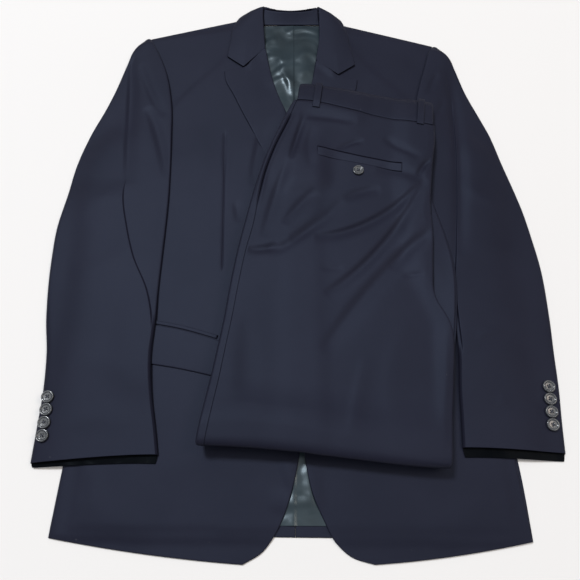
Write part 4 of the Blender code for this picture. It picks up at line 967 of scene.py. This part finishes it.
SECOND_INSET = 3.5  # how far the second leg's edges lie inside the first's
KNEE_STRETCH = 1.22  # the knee fold is a little longer than round
KNEE_SAG = 8.0  # it droops towards the hem between its ends
KNEE_TUCK = 9.0  # and is drawn in at the inner end
KNEE_RECEDES = 0.55  # share by which its lower half lies back under the upper
RECEDES_FROM, RECEDES_OVER = 0.7, 1.1  # level round the turn, 1 at its top and -1 at its foot
KneePuff = namedtuple("KneePuff", "outer inner")  # at the outer and the inner edge
KNEE_PUFF = KneePuff(12.0, 8.0)  # the cloth stands up where it turns under
KNEE_PUFF_FADES = 70.0  # up the leg
KNEE_SQUARE = KneePuff(0.42, 0.95)  # power that makes the turn squarer than a circle
KNEE_JOIN = 60.0  # over which the lower legs slip to their own place
WAIST_JOIN = 45.0  # over which the top of the legs bends to the waist seam
WAIST_GROOVE = 1.3  # how far the waist seam draws the cloth in
SEAM_WIDE = 1.3  # half the width of a drawn seam
INSEAM_SHARE = 0.45
TROUSER_LOFT = 1.0  # how far the left leg stands off between its edges
TROUSER_WAVES = (0.5, 34.0)  # height and size
CREASES_RISE, KNEE_SMOOTH = 10.0, 30.0  # in from the edges and up from the knee
TROUSER_FOLDS = [Fold(*row) for row in (
    (14, 561, 55, 557, 95, 548, -2.6, 9, 5), (68, 500, 87, 513, 104, 515, -1.9, 4, 4),
    (134, 523, 155, 504, 182, 485, -1.6, 6, 5), (198, 482, 186, 474, 175, 455, -3.2, 5, 2.6),
    (185, 450, 106, 387, 33, 366, -3.6, 10, 3), (183, 444, 117, 348, 44, 282, -3.6, 10, 3.4),
    (191, 377, 110, 300, 39, 206, -2.8, 14, 6), (196, 372, 160, 352, 128, 318, -1.8, 10, 5),
    (73, 420, 97, 433, 123, 437, -1.9, 5, 8), (20, 560, 8.5, 520, 0, 484, -3.6, 6, 2.4),
    (-2, 486, -20, 430, -36, 363, -1.8, 9, 4), (-8, 383, 12, 412, 36, 436, -2.0, 4.5, 9),
    (-54, 346, -36, 346, -15, 353, -2.4, 4, 6), (-30, 350, -4, 352, 42, 396, -1.9, 5, 8),
    (0, 361, 34, 382, 74, 422, -1.9, 6, 10), (120, 470, 160, 462, 194, 436, -1.8, 8, 8),
    (34, 540, 26, 506, 30, 470, -1.2, 8, 5), (40, 319, 54, 317, 68, 319, -1.0, 3.5, 3.5),
    (146, 308, 158, 307, 171, 309, -1.0, 3.5, 3.5), (92, 200, 76, 145, 66, 90, 0.8, 12, 6),
    (150, 240, 120, 180, 124, 110, 0.7, 18, 12), (-60, 260, -30, 200, -40, 130, 0.7, 22, 16),
    (178, 230, 186, 180, 176, 110, 0.8, 12, 8),
)]
MOUTH_FROM, MOUTH_TO = 396.0, 568.0  # up the side seam, between which the side pocket is left open
MOUTH_FADES = Fades(60.0, 14.0)
MOUTH_OPEN = 0.6  # of each of its edges from the seam's line
MOUTH_DIP, MOUTH_LIP = 1.8, 0.9  # the cloth sinks at its middle and stands up beside it
DIP_WIDE, LIP_WIDE, LIP_AT = 1.3, 2.5, 3.0  # half widths, and the lip's distance from the seam

jacket_base = bridging(9.0)
leg_length, lower_length = middle_length(LEG), middle_length(LOWER_LEGS)


def upper_plan(along, distance):
    """Plan of the upper legs at distances across them, bent to meet the waist seam."""
    section = sections(LEG, along / leg_length)
    plan = across(section, distance)
    waist = sections(LEG, np.array([1.0]))
    reached = across(waist, distance[-1:])[0]
    seam = smooth_curve(WAISTBAND, np.linspace(0.0, 1.0, 80))
    target_y = np.interp(reached[:, 0], seam[:, 0], seam[:, 1], left=seam[0, 1], right=seam[-1, 1])
    missed = target_y - 0.4 - reached[:, 1]
    near_waist = unit(1.0 - (leg_length - along) / WAIST_JOIN)[:, None]
    plan = plan + np.stack([np.zeros(plan.shape[:2]), near_waist * missed], axis=-1)
    return plan, np.linalg.norm(np.diff(section, axis=1), axis=2).sum(axis=1)


def lower_plan(along, share):
    """Plan of the lower legs at shares across them."""
    section = sections(LOWER_LEGS, along / lower_length)
    return section[:, :1] + (section[:, 1:] - section[:, :1]) * share[..., None]


lower_rows = np.linspace(0.0, lower_length, 110)
lower_shares = np.linspace(0.0, 1.0, 60)[None, :] * np.ones((len(lower_rows), 1))
lower_grid_plan = lower_plan(lower_rows, lower_shares)
lower_top = read_field(jacket_base, lower_grid_plan) + CLEARANCE + 2.0 * STACK
raise_pile(with_height(lower_grid_plan, lower_top))
leg_base = bridging(14.0)


def leg_rows(walls, centre, inset, rows, side):
    """Points of a leg's walls from the waist to the knee, round it, and on under the upper legs.

    walls gives the distance across and +1 or -1 for each column at shares of the width. A wall's offset
    from the middle of the stack is the leg's centre plus or minus its round edge, and round the knee the
    offset is added to the bend's radius. side is the panel's side of the side seam, 0 for a whole leg.
    """
    up = packed(leg_length, [rows.upper], rim=6.0)[0]
    width = upper_plan(up, np.zeros((len(up), 1)))[1]
    distance, outer = walls(width - 2.0 * inset)
    plan = upper_plan(up, distance + inset)[0]
    edge = round_edge(np.minimum(distance, (width - 2.0 * inset)[:, None] - distance), LEG_EDGE)
    offset = centre + outer * edge
    height = read_field(leg_base, plan) + CLEARANCE + STACK + offset
    share = (distance + inset) / width[:, None]
    puff = KNEE_PUFF.outer + (KNEE_PUFF.inner - KNEE_PUFF.outer) * share
    height = height + puff * (1.0 - smoothstep(up / KNEE_PUFF_FADES))[:, None]
    height = height - WAIST_GROOVE * np.exp(-(((leg_length - up) / SEAM_WIDE) ** 2))[:, None]
    if side:
        from_edge = np.minimum(distance, width[:, None] - distance)
        inside = unit(from_edge / CREASES_RISE) * (outer > 0)
        knee_fade = unit(up / KNEE_SMOOTH)[:, None]
        creased = TROUSER_LOFT + folded(plan, TROUSER_FOLDS) + unevenness(plan, *TROUSER_WAVES)
        height = height + inside * knee_fade * creased
        beside = np.abs(distance - seam_distance[:, None])
        up_seam = plan[..., 1]
        mouth = smoothstep((up_seam - MOUTH_FROM) / MOUTH_FADES.foot)
        mouth = mouth * smoothstep((MOUTH_TO - up_seam) / MOUTH_FADES.top)
        mouth = mouth * (outer > 0)
        lips = MOUTH_LIP * np.exp(-(((beside - LIP_AT) / LIP_WIDE) ** 2))
        height = height + mouth * (lips - MOUTH_DIP * np.exp(-((beside / DIP_WIDE) ** 2)))
        opened = side * MOUTH_OPEN * mouth * np.exp(-beside / LIP_AT)
        plan = plan + np.stack([opened, 0.0 * opened], axis=-1)
    upper = with_height(plan, height)[::-1]
    knee = upper[-1]
    away = one_long(plan[0] - plan[1])
    knee_offset = offset[0]
    low_height = read_field(jacket_base, plan[0]) + CLEARANCE + STACK
    high_height = knee[:, 2] - knee_offset
    reach = 0.5 * (high_height - low_height)
    middle = 0.5 * (high_height + low_height)
    turn = np.linspace(0.0, math.pi, rows.knee + 2)[1:-1, None]
    share = share[:1]
    droop = KNEE_SAG * np.sin(math.pi * unit(share) ** 0.6) - KNEE_TUCK * share**2
    square = KNEE_SQUARE.outer + (KNEE_SQUARE.inner - KNEE_SQUARE.outer) * share**1.5
    level = np.sign(np.cos(turn)) * np.abs(np.cos(turn)) ** square
    recede = 1.0 - KNEE_RECEDES * smoothstep((RECEDES_FROM - level) / RECEDES_OVER)
    outward = (KNEE_STRETCH * (reach + knee_offset) + droop) * np.sin(turn) ** square * recede
    bent = knee[None, :, :2] + away * outward[..., None]
    round_knee = with_height(bent, middle + (reach + knee_offset) * level)
    down = np.linspace(0.0, lower_length, rows.lower)
    below = lower_plan(down, share * np.ones((rows.lower, 1)))
    slipped = unit(1.0 - down / KNEE_JOIN)[:, None, None]
    below = below + (plan[0] - below[0]) * slipped
    lower = with_height(below, read_field(jacket_base, below) + CLEARANCE + STACK - knee_offset)
    return np.concatenate([upper, round_knee, lower])


LegRows = namedtuple("LegRows", "upper knee lower")
LEFT_ROWS = LegRows(172, 16, 60)
seam_rows = sections(LEG, packed(leg_length, [LEFT_ROWS.upper], rim=6.0)[0] / leg_length)
seam_distance = np.linalg.norm(seam_rows[:, 1] - seam_rows[:, 0], axis=1)


def wall_signs(*counts):
    """+1 for each column over a leg and -1 for each under it, from counts that carry the sign."""
    return np.concatenate([np.full(abs(count), np.sign(count), dtype=float) for count in counts])[None, :]


def back_walls(width):
    """Columns of the back panel: under it from the inseam to the inner edge, then over to the side seam."""
    start = INSEAM_SHARE * width
    under = start[:, None] + packed(width - start, [14], rim=4.0)
    over = width[:, None] - packed(width - seam_distance, [104], rim=4.0)
    distance = np.concatenate([under[:, :-1], over], axis=1)
    return distance, wall_signs(1 - under.shape[1], over.shape[1])


def front_walls(width):
    """Columns of the front panel: from the side seam round the outer edge, then under to the inseam."""
    over = seam_distance[:, None] - packed(seam_distance, [4], rim=3.0)
    under = packed(INSEAM_SHARE * width, [14], rim=4.0)
    distance = np.concatenate([over, under[:, 1:]], axis=1)
    return distance, wall_signs(over.shape[1], 1 - under.shape[1])


def whole_walls(width):
    """Columns of a whole leg: over it from edge to edge, then back under it."""
    over = packed(width, [26], rim=4.0)
    distance = np.concatenate([over, over[:, -2:0:-1]], axis=1)
    return distance, wall_signs(over.shape[1], 2 - over.shape[1])


second_grid = leg_rows(whole_walls, -LEG_CENTRE, SECOND_INSET, LegRows(60, 9, 40), 0)
second_leg = cloth("second_leg", second_grid, SINGLE, WORSTED, joined=True)
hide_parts("trousers_upper_layers", "trousers_lower_legs")

leg_grids = []
for panel_name, walls, side in (("back", back_walls, 1), ("front", front_walls, -1)):
    leg_grid = leg_rows(walls, LEG_CENTRE, 0.0, LEFT_ROWS, side)
    leg_piece = cloth(f"left_leg_{panel_name}", leg_grid, SINGLE, WORSTED)
    leg_grids.append(leg_grid)
    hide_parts(f"trousers_{panel_name}_leg")

# ---------------------------------------------------------------- waistband and belt loops
# The waistband is a doubled band, stiffened, sewn to the legs' top. Folded at the fly and the back seam it
# lies in two layers, open upwards. Belt loops of doubled cloth are sewn on above and below it.

BAND_SHARES = packed(1.0, [76], rim=0.02)[0]
BAND_THICK = 1.9
BAND_HIGH = 10.2
BAND_DROOP = 3.4  # how much flatter the band lies at its open edge
BAND_EDGE, BAND_FOOT = 2.4, 1.1
BAND_WIDE = 42.0
BAND_WAVES = (0.4, 24.0)  # height and size
band_section = smooth_curve(WAISTBAND, BAND_SHARES).reshape(-1, 2, 2)
band_length = np.linalg.norm(np.diff(band_section[:, 0], axis=0), axis=1).sum()
band_up = packed(BAND_WIDE, [18], rim=2.0)[0]
band_share = (band_up / band_up[-1])[:, None, None]
band_plan = band_section[None, :, 0] * (1.0 - band_share) + band_section[None, :, 1] * band_share
band_in = np.minimum(BAND_SHARES, 1.0 - BAND_SHARES)[None, :] * band_length
band_round = round_edge(band_in, BAND_EDGE) / BAND_EDGE
band_floor = read_field(leg_base, band_plan) + CLEARANCE
band_open = smoothstep(band_up / band_up[-1])[:, None]
band_half = 0.5 * (BAND_HIGH - BAND_DROOP * band_open)
band_top = band_floor + band_half * (1.0 + band_round) - edge_drop(band_up[:, None], BAND_FOOT)
band_top += unevenness(band_plan, *BAND_WAVES) * band_round
band_low = band_floor + band_half * (1.0 - band_round)
band_under = with_height(band_plan, band_low)[:, -2:0:-1]
band_grid = np.concatenate([with_height(band_plan, band_top), band_under], axis=1)
waistband = cloth("waistband", band_grid, BAND_THICK, WORSTED, joined=True)
for leg_grid in leg_grids:
    raise_pile(leg_grid)
raise_pile(with_height(band_plan, band_top))
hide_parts("trousers_waistband")

BELT_LOOPS = {
    "belt_loop_side": ((32.3, 576, 43, 574), (35.6, 600, 46.2, 598.5), (38.8, 625, 49.2, 624)),
    "belt_loop_back": ((181, 543, 190.8, 540.5), (184.6, 568, 194.5, 566), (188.2, 593, 198, 591)),
}
LOOP_THICK, LOOP_EDGE = 1.3, 0.9
LOOP_BOW = 1.6  # how far its middle stands off the band
for loop_name, loop_table in BELT_LOOPS.items():
    loop = panel([TrouserRow(*row) for row in loop_table], [34], [8], rim=1.2)
    up_loop = loop.from_start / (loop.from_start + loop.from_end)
    loop_top = laid(loop.plan, 4.0, LOOP_THICK) + LOOP_BOW * unit(np.sin(math.pi * up_loop))
    loop_top -= edge_drop(np.minimum(loop.from_first, loop.from_last), LOOP_EDGE)
    loop_grid = with_height(loop.plan, loop_top)
    loop_piece = cloth(loop_name + "_strip", loop_grid, LOOP_THICK - 0.1, WORSTED)
    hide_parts(loop_name)
    raise_pile(loop_grid)

# ---------------------------------------------------------------- back pocket
# A slit pocket with one broad welt that stands up over its mouth, sewn down at the foot and at both ends.
# A button under its middle closes it.

BACK_POCKET_WELT = [FlapRow(*row) for row in (
    (38, 505.5, 39, 489.5), (70, 499, 69.7, 484), (98, 491.5, 97.3, 478), (125.5, 485, 124.7, 471.5),
    (155.6, 477.4, 154.6, 463.4),
)]
WELT_THICK = 1.5
WELT_MOUTH = 2.2  # depth of the slit along its top
WELT_LIP = 1.6  # from the welt's top to the middle of the slit
WELT_MOUTH_HALF = 0.5  # half the slit's width
WELT_THINS = 1.4  # from its top to its foot
WELT_END, WELT_FOOT, WELT_TOP = 1.2, 0.8, 0.4  # radii of the edges
welt = panel(BACK_POCKET_WELT, [80], [1, 12], line=lambda section: np.full(len(section), WELT_LIP))
welt_top = laid(welt.plan, 2.0, WELT_THICK)
welt_side = np.minimum(welt.from_start, welt.from_end)
welt_top -= edge_drop(welt_side, WELT_END) + edge_drop(welt.from_last, WELT_FOOT)
off_slit = (welt.from_first - WELT_LIP) / WELT_MOUTH_HALF
welt_top -= edge_drop(welt.from_first, WELT_TOP) + WELT_MOUTH * np.exp(-(off_slit**4))
welt_top -= WELT_THINS * welt.from_first / (welt.from_first + welt.from_last)
welt_grid = with_height(welt.plan, welt_top)
welt_piece = cloth("pocket_welt", welt_grid, SINGLE, WORSTED)
raise_pile(welt_grid)
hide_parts("back_pocket_welt")

# ---------------------------------------------------------------- buttons
# Polished dark resin, 15 mm across, turned with a raised rim round a dish and four holes, sewn on with
# navy thread. Four kiss on each cuff, and one closes the back pocket.


def resin(name):
    """Cast resin: smoky grey in slow streaks, under a hard gloss."""
    material, tree, shader = blank(name)
    spot = add_node(tree, "TexCoord")
    streaks = {"Vector": spot.outputs["Object"], "Scale": 420.0, "Detail": 3.0, "Distortion": 1.5}
    streak = add_node(tree, "TexNoise", streaks)
    colour = shades(tree, streak.outputs["Fac"], SMOKE, HAZE, 0.35, 0.75)
    tree.links.new(colour, shader.inputs["Base Color"])
    fill(shader, {"Roughness": 0.22, "Coat Weight": 0.5, "Coat Roughness": 0.1})
    return material


SMOKE, HAZE = (0.030, 0.034, 0.040), (0.115, 0.120, 0.125)
RESIN = resin("resin")
BUTTON_RADIUS = 7.5
BUTTON_THICK = 3.0
HOLE_RADIUS = 0.85
HOLE_FROM_MIDDLE = 1.75
HOLE_DEPTH = 1.3
HOLE_EDGE = 0.35  # over which a hole's wall goes down
BUTTON_SIDES = 96
SEAT_SHARES = (0.4, 0.8, 1.0)  # of the radius, where a button may touch what it lies on
Ring = namedtuple("Ring", "radius height")
BUTTON_PROFILE = [Ring(*row) for row in (
    (0.0, 0.0), (0.80, 0.0), (0.96, 0.15), (1.0, 0.40), (0.985, 0.72), (0.93, 0.94), (0.86, 1.0),
    (0.79, 0.96), (0.72, 0.84), (0.66, 0.68), (0.60, 0.62), (0.0, 0.58),
)]
Place = namedtuple("Place", "x y")
CUFF_BUTTONS = {
    "right": [Place(-291.5, 154.5), Place(-290.8, 139.2), Place(-290.6, 123.9), Place(-290.4, 108.6)],
    "left": [Place(314.5, 167.5), Place(313.4, 152.2), Place(312.3, 136.9), Place(311.2, 121.6)],
}
POCKET_BUTTON = Place(94.5, 466)


def turned_button(name, place, turn):
    """Profile turned round an axis; in the dish four round pits are sunk by a soft step of their radius."""
    rings = np.array([tuple(ring) for ring in BUTTON_PROFILE])
    dish, middle = rings[-2], rings[-1]
    inner = np.linspace(dish[0], 0.02, 30)[:, None]
    level = np.interp(inner, [0.0, dish[0]], [middle[1], dish[1]])
    inner = np.concatenate([inner, level], axis=1)
    profile = np.concatenate([smooth_curve(rings[1:-1], np.linspace(0.0, 1.0, 26)), inner[1:]])
    angle = np.linspace(0.0, 2.0 * math.pi, BUTTON_SIDES, endpoint=False)
    x = BUTTON_RADIUS * profile[:, :1] * np.cos(angle)
    y = BUTTON_RADIUS * profile[:, :1] * np.sin(angle)
    z = BUTTON_THICK * profile[:, 1:] * np.ones(BUTTON_SIDES)
    for quarter in range(4):
        hole = turn + math.pi / 4.0 + quarter * math.pi / 2.0
        gap = np.hypot(x - HOLE_FROM_MIDDLE * math.cos(hole), y - HOLE_FROM_MIDDLE * math.sin(hole))
        z = z - HOLE_DEPTH * smoothstep((HOLE_RADIUS - gap) / HOLE_EDGE + 0.5) * (profile[:, :1] < 0.6)
    reach, way = BUTTON_RADIUS * np.array(SEAT_SHARES)[:, None], angle[::8]
    spots = np.stack([place.x + reach * np.cos(way), place.y + reach * np.sin(way)], axis=-1)
    seat = read_field(pile, spots).max() + CLEARANCE
    points = np.stack([x + place.x, y + place.y, z + seat], axis=-1).reshape(-1, 3)
    faces = grid_faces(len(profile), BUTTON_SIDES, joined=True).tolist()
    faces.append(list(range(BUTTON_SIDES))[::-1])
    faces.append([(len(profile) - 1) * BUTTON_SIDES + k for k in range(BUTTON_SIDES)])
    piece = new_piece(name, placed(points), faces, RESIN)
    return piece, seat


def thread_bars(name, place, seat, turn):
    """Two crossing stitches of three strands: bowed tubes from hole to hole."""
    strands, around, along = 3, 6, 9
    points, faces = [], []
    angle = np.linspace(0.0, 2.0 * math.pi, around, endpoint=False)
    t = np.linspace(-1.0, 1.0, along)[:, None]
    for stitch in range(2):
        way = turn + math.pi / 4.0 + stitch * math.pi / 2.0
        for strand in range(strands):
            side = (strand - 1) * STRAND_APART
            reach = t * HOLE_FROM_MIDDLE
            bow = 1.0 - t**2
            height = BUTTON_THICK * DISH_LEVEL + BAR_BOW * bow + BAR_OVER * stitch * bow
            height = height - BAR_DIVES * np.abs(t) ** 6
            off = side + STRAND_RADIUS * np.cos(angle)
            x = place.x + reach * math.cos(way) - off * math.sin(way)
            y = place.y + reach * math.sin(way) + off * math.cos(way)
            z = seat + height + STRAND_RADIUS * np.sin(angle)
            start = len(points) * around * along
            points.append(np.stack([x, y, z], axis=-1).reshape(-1, 3))
            faces += (grid_faces(along, around, joined=True) + start).tolist()
    piece = new_piece(name, placed(np.concatenate(points)), faces, THREAD)


STRAND_RADIUS, STRAND_APART = 0.2, 0.34
DISH_LEVEL = 0.62  # share of the button's thickness
BAR_BOW, BAR_OVER, BAR_DIVES = 0.5, 0.25, 0.6  # its arch, the upper bar's extra, and into the holes
THREAD, _, thread_shader = blank("thread")
fill(thread_shader, {"Base Color": (0.05, 0.055, 0.075, 1.0), "Roughness": 0.6})

button_places = [
    (f"cuff_button_{side}_{number}", place)
    for side, places in CUFF_BUTTONS.items()
    for number, place in enumerate(places, start=1)
]
for number, (button_name, place) in enumerate(button_places + [("back_pocket_button", POCKET_BUTTON)]):
    turn = 0.35 * math.sin(2.1 * number)
    button, seat = turned_button(button_name + "_turned", place, turn)
    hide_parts(button_name)
    thread_bars(button_name + "_thread", place, seat, turn)
